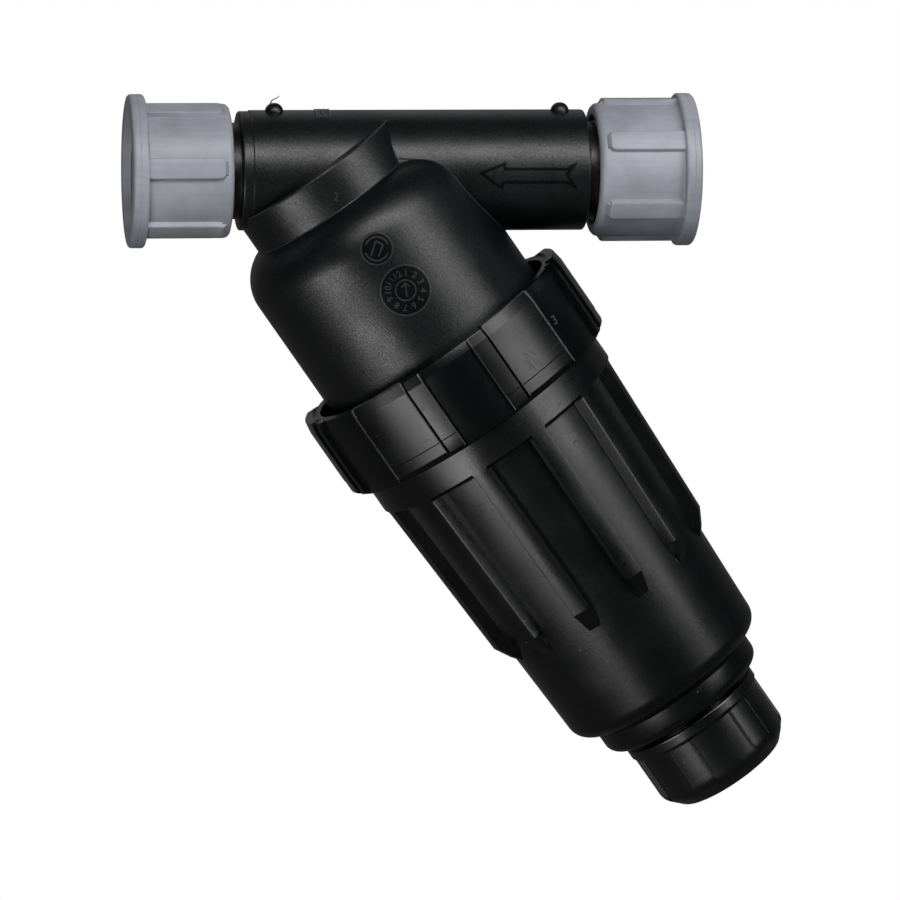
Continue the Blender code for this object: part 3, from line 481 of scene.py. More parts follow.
def branch_radius(z):
    """Radius of boss, dome and barrel at heights along the branch."""
    round_part = DOME_MIDDLE + np.sqrt(np.maximum(DOME_ROUND ** 2 - (DOME_CENTRE - z) ** 2, 0))
    return np.where(z < DOME_TOP, BOSS_RADIUS, np.where(z < DOME_CENTRE, round_part, BARREL_RADIUS))


def junction(start, end, count):
    """Points of the crossing frame where the dome and barrel meet the tube's skin, on the right."""
    x = np.linspace(0.0, 60.0, 2401)
    path = []
    for turn in np.radians(np.linspace(start, end, count)):
        across, up = TUBE_RADIUS * cos(turn), TUBE_RADIUS * sin(turn)
        z = x * cos(BRANCH_SLOPE) - up * sin(BRANCH_SLOPE)
        off = np.hypot(x * sin(BRANCH_SLOPE) + up * cos(BRANCH_SLOPE), across)
        inside = x[(off < branch_radius(z)) & (z > BOSS_TOP)]
        if len(inside):
            path.append((inside.max(), -across, up))
    return path


# Thin lines of flash where the mould's parts met: round the boss's edge, in the corner between boss and dome,
# and where the dome runs into the tube. Their lighter colour is a painted highlight for the light their
# rounded edges catch; the marks and scratches share that lighter black.
for radius, z, size in ((BOSS_RADIUS - 0.14, BOSS_TOP + 0.14, 0.19), (BOSS_RADIUS + 0.05, DOME_TOP, 0.18)):
    section = [(radius + size * cos(a), z + size * sin(a)) for a in HEXAGON]
    marks.append(skin("flash_highlight", lathe(section, 192), BRANCH, 60.0))
marks.append(wire("flash_highlight", junction(-86.0, 24.0, 70), 0.20, Matrix.Translation(CROSSING)))
marks += scratches(3, 5, (-40, 25), (25, 48), (1.0, 2.6), lambda z: BARREL_RADIUS, -0.5)
# A lighter black: painted highlight on the flash lines and the cap's front corners, and the lighter colour of
# the marks and scratches.
rubbed_black = moulded_plastic("rubbed_black", (0.030, 0.031, 0.033), roughness=0.33, grain=0.5,
                               grain_height=0.02, streak=0.30, level=0.8)
finish_piece(join(*marks, name="mould_marks"), rubbed_black, "housing", "moulded_black")


# The dark ground of the marks: two thin discs, where steel inserts of the mould left a smoother skin, and the
# arrow.
# The arrow's dark finish is painted shade for the shadows along its raised strokes.
def laid_disc(name, radius, where):
    """A thin flat disc laid on a skin."""
    rows = []
    for share, height in ((0, -0.3), (1, -0.3), (1, 0.04), (0.66, 0.06), (0.33, 0.06), (0, 0.06)):
        rows.append([where(share * x, share * y, height) / MM for x, y in circle(radius, 64)])
    return skin(name, np.array(rows), Matrix.Identity(4), 60.0)


inserts_and_arrow = laid_disc("mould_inserts", SMALL_INSERT, small_insert)
join(inserts_and_arrow, laid_disc("large_disc", LARGE_INSERT, large_insert), arrow)
# Darker and duller than the body: the discs' own finish, and painted shade on the arrow.
insert_black = moulded_plastic("insert_black", (0.0018, 0.0022, 0.0025), roughness=0.34, grain=0.5,
                               grain_height=0.006, streak=0.03, level=0.20)
finish_piece(inserts_and_arrow, insert_black, "housing", "moulded_black")


# The body's threads: a fine pipe thread on each spigot and a coarse one for the ring nut. All are
# right-hand threads, moulded with the body, and fade out at both ends.
def new_tree(name, counts, sizes):
    """An empty Geometry Nodes tree and its named inputs: counts, sizes and the material."""
    tree = bpy.data.node_groups.new(name, "GeometryNodeTree")
    kinds = {**dict.fromkeys(counts, "Int"), **dict.fromkeys(sizes, "Float"), "Stuff": "Material"}
    for socket, kind in kinds.items():
        tree.interface.new_socket(socket, in_out="INPUT", socket_type="NodeSocket" + kind)
    tree.interface.new_socket("Geometry", in_out="OUTPUT", socket_type="NodeSocketGeometry")
    return tree, node(tree, "NodeGroupInput").outputs


def end_tree(tree, shape, stuff):
    """Make a tree's shape real, give it its material and hand it out."""
    real = node(tree, "GeometryNodeRealizeInstances", shape)
    node(tree, "NodeGroupOutput", node(tree, "GeometryNodeSetMaterial", real, material=stuff))
    return tree


def thread_tree():
    """Geometry Nodes: a right-hand thread's ridge that winds up a cylinder and fades out at both ends."""
    tree, given = new_tree("thread", (), ("Turns", "Pitch", "Root Radius", "Start", "Foot Width",
                                          "Crest Width", "Crest Height"))
    helix = node(tree, "GeometryNodeCurveSpiral", resolution=72, reverse=True, rotations=given["Turns"],
                 start_radius=given["Root Radius"], end_radius=given["Root Radius"],
                 height=maths(tree, "MULTIPLY", given["Turns"], given["Pitch"]))
    upright = node(tree, "GeometryNodeSetCurveNormal", helix, mode="Z_UP")
    off = maths(tree, "ABSOLUTE", maths(tree, "SUBTRACT", node(tree, "GeometryNodeSplineParameter"), 0.5))
    fade = node(tree, "ShaderNodeMapRange", off, 0.5, 0.46, 0.02, 1.0, interpolation_type="SMOOTHSTEP")
    ridge = node(tree, "GeometryNodeCurvePrimitiveQuadrilateral", mode="POINTS")
    for i, (share, rise) in enumerate(((-0.5, 0.0), (-0.5, 1.0), (0.5, 1.0), (0.5, 0.0))):
        across = maths(tree, "MULTIPLY", given["Crest Width" if rise else "Foot Width"], share)
        lift = maths(tree, "MULTIPLY", given["Crest Height"], rise)
        feed(tree, ridge.inputs[f"Point {i + 1}"], node(tree, "ShaderNodeCombineXYZ", across, lift))
    sweep = node(tree, "GeometryNodeCurveToMesh", upright, ridge, scale=fade, fill_caps=True)
    start = node(tree, "ShaderNodeCombineXYZ", z=given["Start"])
    return end_tree(tree, node(tree, "GeometryNodeTransform", sweep, translation=start), given["Stuff"])


def grown(name, tree, place, **values):
    """The plain mesh that a tree makes from its named inputs, in millimetres, set in place."""
    seed = placed(name, bpy.data.meshes.new(name))
    step = seed.modifiers.new("grow", "NODES")
    step.node_group = tree
    for socket in tree.interface.items_tree:
        key = socket.name.replace(" ", "_").lower()
        if key in values:
            step[socket.identifier] = values[key]
    mesh = plain_mesh(seed)
    seed.modifiers.clear()
    mesh.transform(place @ Matrix.Scale(MM, 4))
    tidy_mesh(mesh, 30.0)
    seed.data = mesh
    return seed


THREAD = thread_tree()


def thread(place, start, end, stuff, root, height, pitch, foot, crest):
    """One thread from start to end along a frame's Z; a negative height points inwards."""
    return grown("ridge", THREAD, place, turns=(end - start) / pitch, pitch=pitch, root_radius=root,
                 start=start, foot_width=foot, crest_width=crest, crest_height=height, stuff=stuff)


NUT_PITCH = 6.0
join(body,
     thread(TUBE, -30.6, -21.0, body_black, root=11.9, height=0.85, **PIPE_THREAD),
     thread(TUBE, 69.3, 78.9, body_black, root=11.9, height=0.85, **PIPE_THREAD),
     thread(BRANCH, 56.6, 64.8, body_black, root=31.5, height=1.1, pitch=NUT_PITCH, foot=3.0, crest=1.4))
finish_piece(body, body_black, "housing", "moulded_black", "filter_body")


# The sockets: grey moulded adaptors that screw on the spigots. Each has a flange at its mouth, six
# ribs for the hand and a pipe thread inside, and a thin ring inside it stops the pipe and the spigot.
INLET = axes((0, 0, 0), (1, 0, 0), FRONT)
OUTLET = axes((-0.1408, 0, 0), (-1, 0, 0), FRONT)
SOCKET_RADIUS, SOCKET_LENGTH = 16.6, 25.0
FLANGE_RADIUS, FLANGE_THICK = 19.0, 4.0
SOCKET_BORE, STOP_FRONT, STOP_BACK = 13.6, -12.5, -14.1
RIB_RADIUS, RIB_END, RIB_ROUND = 17.85, -21.2, 1.45
SOCKET_RIBS = 6


def ribbed(plain, raised, centres, half_top, half_foot, pocket, round_radius):
    """Rows of a turned piece with ribs: every row runs round plain pockets and up over each rib."""
    plain, raised = np.array(plain), np.array(raised)
    half_top, half_foot = np.broadcast_to(half_top, len(plain)), np.broadcast_to(half_foot, len(plain))
    steps = [(1.0, 0.5, 0.0), (1.0, 0.02, 0.0), (1.0, 0.0, 0.01), (0.0, 0.05, 0.90), (0.0, -0.09, 0.985),
             (0.0, -0.42, 1.0), (None, 0.0, 1.0)]
    steps = [(m, s, h, -1) for m, s, h in steps] + [(m, s, h, 1) for m, s, h in steps[-2::-1]]
    grid = []
    spacing = 2 * pi / centres[1]
    for (r0, z0), (r1, z1), top, foot in zip(plain, raised, half_top, half_foot):
        rib = []
        for share, shift, rise, sign in steps:
            r, z = r0 + rise * (r1 - r0), z0 + rise * (z1 - z0)
            off = 0.0 if share is None else sign * (share * foot + (1 - share) * top + shift)
            rib.append((r, z, asin(off / max(r, round_radius))))
        row = []
        for i in range(centres[1]):
            middle = radians(centres[0]) + spacing * i
            row += [(r * cos(middle + a), r * sin(middle + a), z) for r, z, a in rib]
            first, last = rib[-1][2], spacing + rib[0][2]
            for k in range(1, pocket + 1):
                a = middle + first + (last - first) * k / (pocket + 1)
                row.append((r0 * cos(a), r0 * sin(a), z0))
        grid.append(row)
    return np.array(grid)


grey = moulded_plastic("socket_grey_plastic", (0.310, 0.322, 0.366), roughness=0.46, grain=0.5,
                       grain_height=0.010, turn=(0, radians(90), 0), streak=0.045)
flange = [(14.4, 0, 0.2), (FLANGE_RADIUS, 0, 0.9), (FLANGE_RADIUS, -1.7, 0.12),
          (FLANGE_RADIUS - 0.1, -1.85, 0.05), (FLANGE_RADIUS, -2.0, 0.12), (FLANGE_RADIUS, -FLANGE_THICK, 0.8)]
plain = flange + [(SOCKET_RADIUS, -FLANGE_THICK, 0.35)]
plain += [(SOCKET_RADIUS, z, 0) for z in (RIB_END, -21.8, -22.2, -22.5, -23.4)]
raised = flange + [(RIB_RADIUS, -FLANGE_THICK, 0.2)] + [(RIB_RADIUS, z, 0) for z in (RIB_END, -21.8, -22.2)]
raised += [(RIB_RADIUS, -22.5, 0.3), (SOCKET_RADIUS, -23.4, 0)]
inside = [(SOCKET_RADIUS, -SOCKET_LENGTH, 1.5), (SOCKET_BORE, -SOCKET_LENGTH, 0.4),
          (SOCKET_BORE, STOP_BACK, 0.2), (PORT_BORE, STOP_BACK, 0.3), (PORT_BORE, STOP_FRONT, 0.3),
          (SOCKET_BORE, STOP_FRONT, 0.2), (SOCKET_BORE, -1.0, 0.2)]
plain_rows, raised_rows = rounded(plain + inside), rounded(raised + inside)
ends = np.array([min(1.0, max(0.0, (RIB_END - z) / RIB_ROUND)) if r > SOCKET_RADIUS - 0.2 else 1.0
                 for r, z in raised_rows])
trim = 0.95 * (1 - np.sqrt(1 - 0.999 * ends ** 2))
for name, place, phase, body_name in (("inlet_socket", INLET, -27.8, "inlet_end"),
                                      ("outlet_socket", OUTLET, 5.4, "outlet_end")):
    grid = ribbed(plain_rows, raised_rows, (phase, SOCKET_RIBS), 2.45 - trim, 2.65 - trim, 16, 16.0)
    socket = skin(name + "_piece", grid, place)
    join(socket,
         thread(place, -24.6, -15.0, grey, root=13.7, height=-0.8, **PIPE_THREAD),
         thread(place, -12.0, -0.9, grey, root=13.7, height=-0.8, **PIPE_THREAD))
    finish_piece(socket, grey, body_name, "socket_grey", name)


# The seals: flat rubber rings in the ports, the drain cap and the cartridge's seat, and a round
# ring in the bowl's flange. All are pressed between two faces and come loose with the piece they ride on.
rubber = moulded_plastic("black_rubber", (0.018, 0.018, 0.018), roughness=0.62, grain=0.4, grain_height=0.01,
                         turn=(0, 0, 0), streak=0.02, level=0.35)
for name, body_name, place, inner, outer, low, high in (
        ("inlet_gasket", "inlet_seal", INLET, PORT_BORE, 12.5, -16.0, -14.4),
        ("outlet_gasket", "outlet_seal", OUTLET, PORT_BORE, 12.5, -16.0, -14.4),
        ("drain_gasket", "drain_seal", BRANCH, 11.0, 15.2, 181.5, 182.6),
        ("collar_seal", "cartridge", BRANCH, MOUTH_INNER, 15.6, 20.3, 21.5)):
    corners = [(inner, low, 0.25), (inner, high, 0.25), (outer, high, 0.25), (outer, low, 0.25)]
    ring = skin(name + "_ring", lathe(rounded(corners), 96), place)
    finish_piece(ring, rubber, body_name, "seal_rubber", name)
section = [(29.95 + 1.1 * cos(a), 67.2 + 0.9 * sin(a)) for a in np.radians(range(0, 360, 20))]
ring = skin("bowl_ring", lathe(section, 128), BRANCH)
finish_piece(ring, rubber, "bowl_cup", "seal_rubber", "bowl_o_ring")


# The ring nut: glossier black, with six broad lugs, a lower band beside each and a groove between
# them. It screws on the barrel with a coarse thread and holds the bowl by the lip inside its bottom.
NUT_TURN = -4.1
NUT_TOP, NUT_END = 51.0, 72.7
NUT_RADIUS, BAND_RADIUS, LUG_RADIUS = 36.3, 37.5, 38.0
LUG_START, LUG_END = 19.0, 43.0
LUG_HEIGHTS = (53.6, 58.0, 63.0, 68.0)


def nut_section(radius, rise, short, line):
    """Closed outline of the nut through a lug, a band, a groove or a plain recess."""
    end = NUT_END - short
    corners = [(33.4, NUT_TOP, 0.25), (34.0, NUT_TOP, 0.05), (34.1, NUT_TOP + 0.08, 0.05),
               (34.5, NUT_TOP + 0.08, 0.05), (34.6, NUT_TOP, 0.05), (35.1, NUT_TOP, 0.05),
               (35.25 if rise else 35.35, NUT_TOP - rise, 0.15), (radius - 0.5, NUT_TOP - rise, 0.35),
               (radius, 53.4, 0.6), (radius, 68.0, 0.1), (radius - line, 68.25, 0.1),
               (radius - line, end, 0.7 if short else 0.3), (36.25, end if short else NUT_END - 0.05, 0.1),
               (35.9, NUT_END, 0.2), (33.3, NUT_END, 0.3), (33.3, 69.7, 0.2), (34.4, 69.7, 0.2),
               (34.4, 64.5, 0.2), (33.6, 63.5, 0.2), (33.6, 54.6, 0.2), (33.4, 54.2, 0.2)]
    return np.array(rounded(corners))


recess, band = nut_section(NUT_RADIUS, 0.0, 0.0, 0.0), nut_section(BAND_RADIUS, 0.25, 0.5, 0.08)
lug, groove = nut_section(LUG_RADIUS, 0.7, 1.0, 0.12), nut_section(36.5, 0.1, 0.6, 0.0)
NUT_KNOTS = ((0.0, recess), (11.3, recess), (11.48, band), (18.1, band), (18.22, groove), (18.8, groove),
             (18.92, lug), (43.08, lug), (43.2, groove), (43.78, groove), (43.9, band), (44.5, band),
             (44.65, recess), (69.9, recess), (70.08, band), (74.1, band), (74.22, groove), (74.8, groove),
             (74.92, lug), (90.0, lug))


def nut_line(psi):
    """The nut's outline at an angle from the front; the lugs and bands lie alike in all four quarters."""
    off = abs((psi - NUT_TURN + 90.0) % 180.0 - 90.0)
    for (start, before), (end, after) in zip(NUT_KNOTS, NUT_KNOTS[1:]):
        if off <= end:
            return before + (off - start) / (end - start) * (after - before)
    return lug


knots = [off for off, _ in NUT_KNOTS] + [e + s for e in (LUG_START, LUG_END, 75.0) for s in (0.5, -0.5)]
turns = [NUT_TURN + half + side * off for off in knots for side in (-1, 1) for half in (0, 180)]
stations = {round(turn, 4) % 360.0 for turn in turns}
stations |= {float(a) for a in np.arange(0.0, 360.0, 3.0)
             if min(abs((a - s + 180.0) % 360.0 - 180.0) for s in stations) > 0.5}
grid = [[round_branch(r, psi, z) for r, z in nut_line(psi)] for psi in sorted(stations)]
nut = skin("ring_nut_piece", np.array(grid).transpose(1, 0, 2), BRANCH, 30.0)
GLOSS_BLACK = (0.0008, 0.0012, 0.0015)
nut_black = moulded_plastic("nut_black", GLOSS_BLACK, roughness=0.27, grain=0.5, grain_height=0.004,
                            streak=0.05, specks=0.03, level=0.44)
join(nut, thread(BRANCH, 55.0, 63.4, nut_black, root=33.7, height=-0.8, pitch=NUT_PITCH, foot=2.6, crest=1.2))
finish_piece(nut, nut_black, "nut", "gloss_black", "ring_nut")

# The nut's extras: thin lighter lines on the front corners and the top edges of its lugs are painted
# highlights, where the rounded edges catch the lamps, and its lugs are scratched. A small number stands in one
# recess.
overlays = [raised_number("3", 3.4, 0.6, on_branch(NUT_RADIUS, 61.4, 45.0), 0.5)]
for off, top, outer, low in ((LUG_START, 50.55, LUG_RADIUS - 0.03, 71.3),
                             (LUG_END, 50.55, LUG_RADIUS - 0.03, 71.3),
                             (11.48, NUT_TOP, 37.36, 72.1), (44.2, NUT_TOP, 37.45, 72.1)):
    for side in (-1, 1):
        psi = NUT_TURN + side * off
        path = [round_branch(outer - 0.5, psi, top), round_branch(outer - 0.25, psi, 52.0)]
        path += [round_branch(outer, psi, z) for z in (*LUG_HEIGHTS, low)]
        overlays.append(wire("corner", path, (0.30, 0.26, 0.16, 0.14, 0.14, 0.14, 0.12), BRANCH))
for side in (-1, 1):
    path = [round_branch(37.45, NUT_TURN + side * e, 50.45) for e in np.linspace(LUG_START, LUG_END, 14)]
    overlays.append(wire("top_edge", path, 0.14, BRANCH))
for seed, count, psi, z, length, level in ((11, 9, (-44, -22), (56, 71), (1.0, 4.0), 0.0),
                                           (12, 9, (16, 38), (56, 71), (1.0, 4.0), 0.15),
                                           (13, 12, (21, 26), (57, 68), (1.5, 5.0), 1.35)):
    overlays += scratches(seed, count, psi, z, length, lambda z: LUG_RADIUS, level)
# A lighter black: painted highlight on the corner and top-edge lines, and the lighter colour of the number and
# scratches.
worn_black = moulded_plastic("worn_black", (0.055, 0.056, 0.059), roughness=0.34, grain=0.5,
                             grain_height=0.02, streak=0.30, level=0.8)
finish_piece(join(*overlays, name="nut_rubbed_edges"), worn_black, "nut", "gloss_black")


# The bowl: a tapered cup with twelve long ribs that run out into its wall, a flange that the nut
# holds, a round bottom with a collar, and the threaded drain spigot under the cap.
BOWL_TURN, BOWL_RIBS = -3.7, 12
BAND_FOOT, WALL_FOOT = 80.2, 152.5
BOWL_BAND = 33.9
WALL_TOP_RADIUS, WALL_FOOT_RADIUS = 30.45, 27.4
BOWL_RIB_TOP, BOWL_RIB_LOW, BOWL_RIB_TAPER = 33.87, 32.0, 1.85
BOWL_RIB_END, BOWL_RIB_TIP = 123.8, 129.7
BOTTOM_ROUND, COLLAR_ROUND = 4.5, 2.9
DRAIN_RADIUS, DRAIN_BORE, DRAIN_END = 14.5, 11.0, 181.2


def bowl_wall(z):
    """Outside radius of the bowl's wall between the ribs."""
    return WALL_TOP_RADIUS - (WALL_TOP_RADIUS - WALL_FOOT_RADIUS) * (z - BAND_FOOT) / (WALL_FOOT - BAND_FOOT)


def rib_crest(z):
    """Outside radius of a rib above the slope at its end."""
    return BOWL_RIB_TOP - BOWL_RIB_TAPER * (z - BAND_FOOT) / (BOWL_RIB_END - BAND_FOOT)


top = [(27.4, 66.3, 0.3), (28.5, 66.3, 0.15), (28.5, 68.4, 0.2), (31.3, 68.4, 0.2), (31.3, 66.3, 0.15),
       (34.1, 66.3, 0.3), (34.1, 69.4, 0.3), (33.0, 69.4, 0.2), (33.0, 73.0, 0.2), (BOWL_BAND, 73.0, 0.3)]
slope = (BOWL_RIB_END, BOWL_RIB_END + 2, BOWL_RIB_END + 4, BOWL_RIB_TIP)
plain = top + [(BOWL_BAND, BAND_FOOT, 0.3), (bowl_wall(81), 81.0, 0.5)]
plain += [(bowl_wall(z), z, 0) for z in (100.0, 116.0, *slope)]
raised = top + [(BOWL_BAND, BAND_FOOT, 0.0), (BOWL_RIB_TOP, 81.0, 0)]
raised += [(rib_crest(z), z, 0) for z in (100.0, 116.0)]
raised += [(BOWL_RIB_LOW, slope[0], 0.15), (30.93, slope[1], 0), (29.86, slope[2], 0),
           (bowl_wall(BOWL_RIB_TIP) + 0.1, BOWL_RIB_TIP, 0)]
low = [(bowl_wall(z), z, 0) for z in (BOWL_RIB_TIP + 0.1, 135.0, WALL_FOOT)]
low += [(r, z, 0) for r, z in arc((WALL_FOOT_RADIUS - BOTTOM_ROUND, WALL_FOOT), BOTTOM_ROUND, 6, 66, 10)]
low += [(22.35, 157.8, 0.3)] + [(r, z, 0) for r, z in arc((19.45, 161.5), COLLAR_ROUND, 6, 88, 8)]
low += [(DRAIN_RADIUS, 164.4, 0.3), (DRAIN_RADIUS, DRAIN_END, 0.8), (DRAIN_BORE, DRAIN_END, 0.4),
        (DRAIN_BORE, 157.8, 1.0), (15.8, 154.6, 2.0), (24.6, 154.6, 5.5), (24.6, 149.0, 0)]
plain_rows, raised_rows = rounded(plain + low), rounded(raised + low)
shares = np.array([min(1.0, max(0.0, (z - BOWL_RIB_END) / (BOWL_RIB_TIP - BOWL_RIB_END))) if r > 25 else 0.0
                   for r, z in raised_rows])
rib_phase = (90.0 - BOWL_TURN - 180.0 / BOWL_RIBS, BOWL_RIBS)
grid = ribbed(plain_rows, raised_rows, rib_phase, 2.05 - 0.60 * shares, 2.12 - 0.57 * shares, 6, 27.0)
bowl = skin("bowl_piece", grid, BRANCH, 18.0)
bowl_black = moulded_plastic("bowl_black", GLOSS_BLACK, roughness=0.30, grain=0.45, grain_height=0.018,
                             streak=0.07, specks=0.10, level=0.57)
DRAIN_THREAD = {"pitch": 3.0, "foot": 1.9, "crest": 0.8}
join(bowl, thread(BRANCH, 166.5, 180.2, bowl_black, root=14.4, height=0.9, **DRAIN_THREAD))
finish_piece(bowl, bowl_black, "bowl_cup", "moulded_black", "bowl")
overlays = scratches(21, 7, (-42, -26), (86, 97), (1.5, 5.0), bowl_wall, -0.05)
overlays += scratches(22, 5, (20, 34), (86, 100), (1.5, 4.0), bowl_wall, 0.05)
overlays += scratches(24, 6, (-20, 60), (74, 79), (1.0, 3.0), lambda z: BOWL_BAND, 0.2)
finish_piece(join(*overlays, name="bowl_scratches"), rubbed_black, "bowl_cup", "moulded_black")


# The drain cap: a moulded screw cap with a rim, six shallow finger recesses and a bevelled end. It
# screws on the drain spigot and presses its gasket against the spigot's end.
CAP_TURN, CAP_RECESSES, RECESS_REACH = 2.9, 6, 20.5
CAP_RADIUS, CAP_RECESS_RADIUS, CAP_RIM_RADIUS, CAP_BORE = 18.25, 17.55, 18.7, 16.1
CAP_TOP, CAP_FLOOR, CAP_BEVEL, CAP_END = 165.75, 182.9, 181.5, 185.5
# Painted highlights go on the recess borders within this many degrees of the front.
FRONT_HIGHLIGHT_SIDE = 65.0


def cap_section(radius, drop):
    """Outline of the cap from the middle of its floor inside, round the rim, to the middle of its end."""
    corners = [(0, CAP_FLOOR, 0), (CAP_BORE, CAP_FLOOR, 0.4), (CAP_BORE, CAP_TOP, 0.4),
               (CAP_RIM_RADIUS, CAP_TOP, 0.4), (CAP_RIM_RADIUS, 168.4, 0.5), (radius, 168.9, 0.4),
               (radius, CAP_BEVEL + drop, 3.5), (14.55, CAP_END, 1.5), (9.0, CAP_END, 0), (0, CAP_END, 0)]
    return np.array(rounded(corners, 4))


cap_plain, cap_recess = cap_section(CAP_RADIUS, 0.0), cap_section(CAP_RECESS_RADIUS, 0.7)
borders = [CAP_TURN + 60.0 * i + s * RECESS_REACH for i in range(CAP_RECESSES) for s in (-1, 1)]
around = {(b + s) % 360.0 for b in borders for s in (-1.2, -0.55, -0.4, 0.0, 0.4, 0.55, 1.2)}
around |= {float(a) for a in np.arange(0.0, 360.0, 2.0)
           if min(abs((a - b + 180) % 360 - 180) for b in borders) > 1.6}
grid = []
for psi in sorted(around):
    off = abs((psi - CAP_TURN + 30.0) % 60.0 - 30.0)
    share = min(1.0, max(0.0, 0.5 + (RECESS_REACH - off) / 0.9))
    grid.append([round_branch(r, psi, z) for r, z in cap_plain + share * (cap_recess - cap_plain)])
cap = skin("drain_cap_piece", np.array(grid).transpose(1, 0, 2), BRANCH, 30.0)
cap_black = moulded_plastic("cap_black", GLOSS_BLACK, roughness=0.27, grain=0.5, grain_height=0.004,
                            streak=0.05, specks=0.04, level=0.72)
join(cap, thread(BRANCH, 166.2, 180.6, cap_black, root=16.2, height=-0.8, **DRAIN_THREAD))
finish_piece(cap, cap_black, "cap", "gloss_black", "drain_cap")
# Thin lighter lines on the recess borders that face the front are painted highlights, where the rounded edges
# catch the lamps; the scratches are wear.
overlays = [wire("corner", [round_branch(CAP_RADIUS, psi, z) for z in (169.2, 175.0, 180.0)], 0.11, BRANCH)
        for psi in borders if abs((psi + 180) % 360 - 180) < FRONT_HIGHLIGHT_SIDE]
overlays += scratches(31, 7, (-40, 45), (170, 181), (0.8, 2.5), lambda z: 18.2, 0.6)
finish_piece(join(*overlays, name="cap_rubbed_edges"), rubbed_black, "cap", "gloss_black")


# The screen cartridge: a moulded cage with hoops and bars carries a sleeve of woven steel between
# two moulded ends. It is pushed into the seat from below and stands on the bowl's floor.
SLEEVE_START, SLEEVE_END, SLEEVE_INNER, SLEEVE_OUTER = 24.5, 146.7, 17.0, 17.5
END_RADIUS = 19.2
FEET, FOOT_HALF_WIDTH = 4, 2.5
WIRE_SPACING = 0.5
cage_grey = moulded_plastic("cage_grey_plastic", (0.10, 0.11, 0.125), roughness=0.42, grain=0.7,
                            grain_height=0.008, streak=0.05)
collar = skin("cartridge_collar", lathe(rounded([
    (9.9, 14.0, 0.3), (12.2, 14.0, 0.6), (12.2, 21.8, 0.2), (END_RADIUS, 21.8, 0.6), (END_RADIUS, 28.2, 0.3),
    (17.8, 28.2, 0.2), (17.8, 24.2, 0.2), (9.9, 24.2, 0.3)]), 128), BRANCH)
finish_piece(collar, cage_grey, "cartridge", "cage_grey", "screen_collar")


def cage_tree():
    """Geometry Nodes: hoops up a cylinder, joined by bars of even width."""
    tree, given = new_tree("cage", ("Hoops", "Bars"),
                           ("Radius", "Wall", "Hoop Width", "Bar Width", "Low", "High"))
    low, high, wall, width = given["Low"], given["High"], given["Wall"], given["Hoop Width"]
    middle = maths(tree, "SUBTRACT", given["Radius"], maths(tree, "MULTIPLY", wall, 0.5))
    ring = node(tree, "GeometryNodeCurvePrimitiveCircle", resolution=96, radius=middle)
    section = node(tree, "GeometryNodeCurvePrimitiveQuadrilateral", width=wall, height=width)
    half = maths(tree, "MULTIPLY", width, 0.5)
    levels = node(tree, "GeometryNodeMeshLine", mode="END_POINTS", count=given["Hoops"],
                  start_location=node(tree, "ShaderNodeCombineXYZ", z=maths(tree, "ADD", low, half)),
                  offset=node(tree, "ShaderNodeCombineXYZ", z=maths(tree, "SUBTRACT", high, half)))
    hoops = node(tree, "GeometryNodeInstanceOnPoints", levels,
                 instance=node(tree, "GeometryNodeCurveToMesh", ring, section))
    length = maths(tree, "SUBTRACT", high, maths(tree, "ADD", low, width))
    size = node(tree, "ShaderNodeCombineXYZ", maths(tree, "MULTIPLY", wall, 0.72), given["Bar Width"], length)
    outwards = node(tree, "FunctionNodeAlignRotationToVector", axis="X",
                    vector=node(tree, "GeometryNodeInputPosition"))
    bars = node(tree, "GeometryNodeInstanceOnPoints",
                node(tree, "GeometryNodeMeshCircle", vertices=given["Bars"], radius=middle),
                instance=node(tree, "GeometryNodeMeshCube", size=size), rotation=outwards)
    halfway = node(tree, "ShaderNodeCombineXYZ", z=maths(tree, "MULTIPLY", maths(tree, "ADD", low, high), 0.5))
    lifted = node(tree, "GeometryNodeTransform", bars, translation=halfway)
    whole = node(tree, "GeometryNodeJoinGeometry", hoops)
    feed(tree, whole.inputs[0], lifted)
    return end_tree(tree, whole, given["Stuff"])


cage = grown("cartridge_cage", cage_tree(), BRANCH, hoops=6, bars=6, radius=16.7, wall=2.2, hoop_width=2.6,
             bar_width=3.4, low=SLEEVE_START, high=SLEEVE_END, stuff=cage_grey)
finish_piece(cage, cage_grey, "cartridge", "cage_grey", "screen_cage")

end_cap = skin("cartridge_end", lathe(rounded([
    (0, 147.0, 0), (12.8, 147.0, 0.2), (12.8, 143.0, 0.3), (14.2, 143.0, 0.3), (14.2, 147.0, 0.2),
    (17.8, 147.0, 0.2), (17.8, 143.0, 0.2), (END_RADIUS, 143.0, 0.3), (END_RADIUS, 149.2, 0.6),
    (0, 149.2, 0)]), 128), BRANCH)
stand = rounded([(15.0, 148.7, 0), (17.4, 148.7, 0), (17.4, 154.3, 0.4), (15.0, 154.3, 0.4)], 3)
for i in range(FEET):
    a = radians(45 + 90 * i)
    out, side = np.array((cos(a), sin(a), 0.0)), np.array((-sin(a), cos(a), 0.0))
    sheets = [[r * out + (0, 0, z) + s * FOOT_HALF_WIDTH * side for r, z in points]
              for s, points in ((-1, [(16.2, 151.5)] * len(stand)), (-1, stand), (1, stand),
                                (1, [(16.2, 151.5)] * len(stand)))]
    join(end_cap, skin("foot", np.array(sheets).transpose(1, 0, 2), BRANCH))
finish_piece(end_cap, cage_grey, "cartridge", "cage_grey", "screen_end_cap")


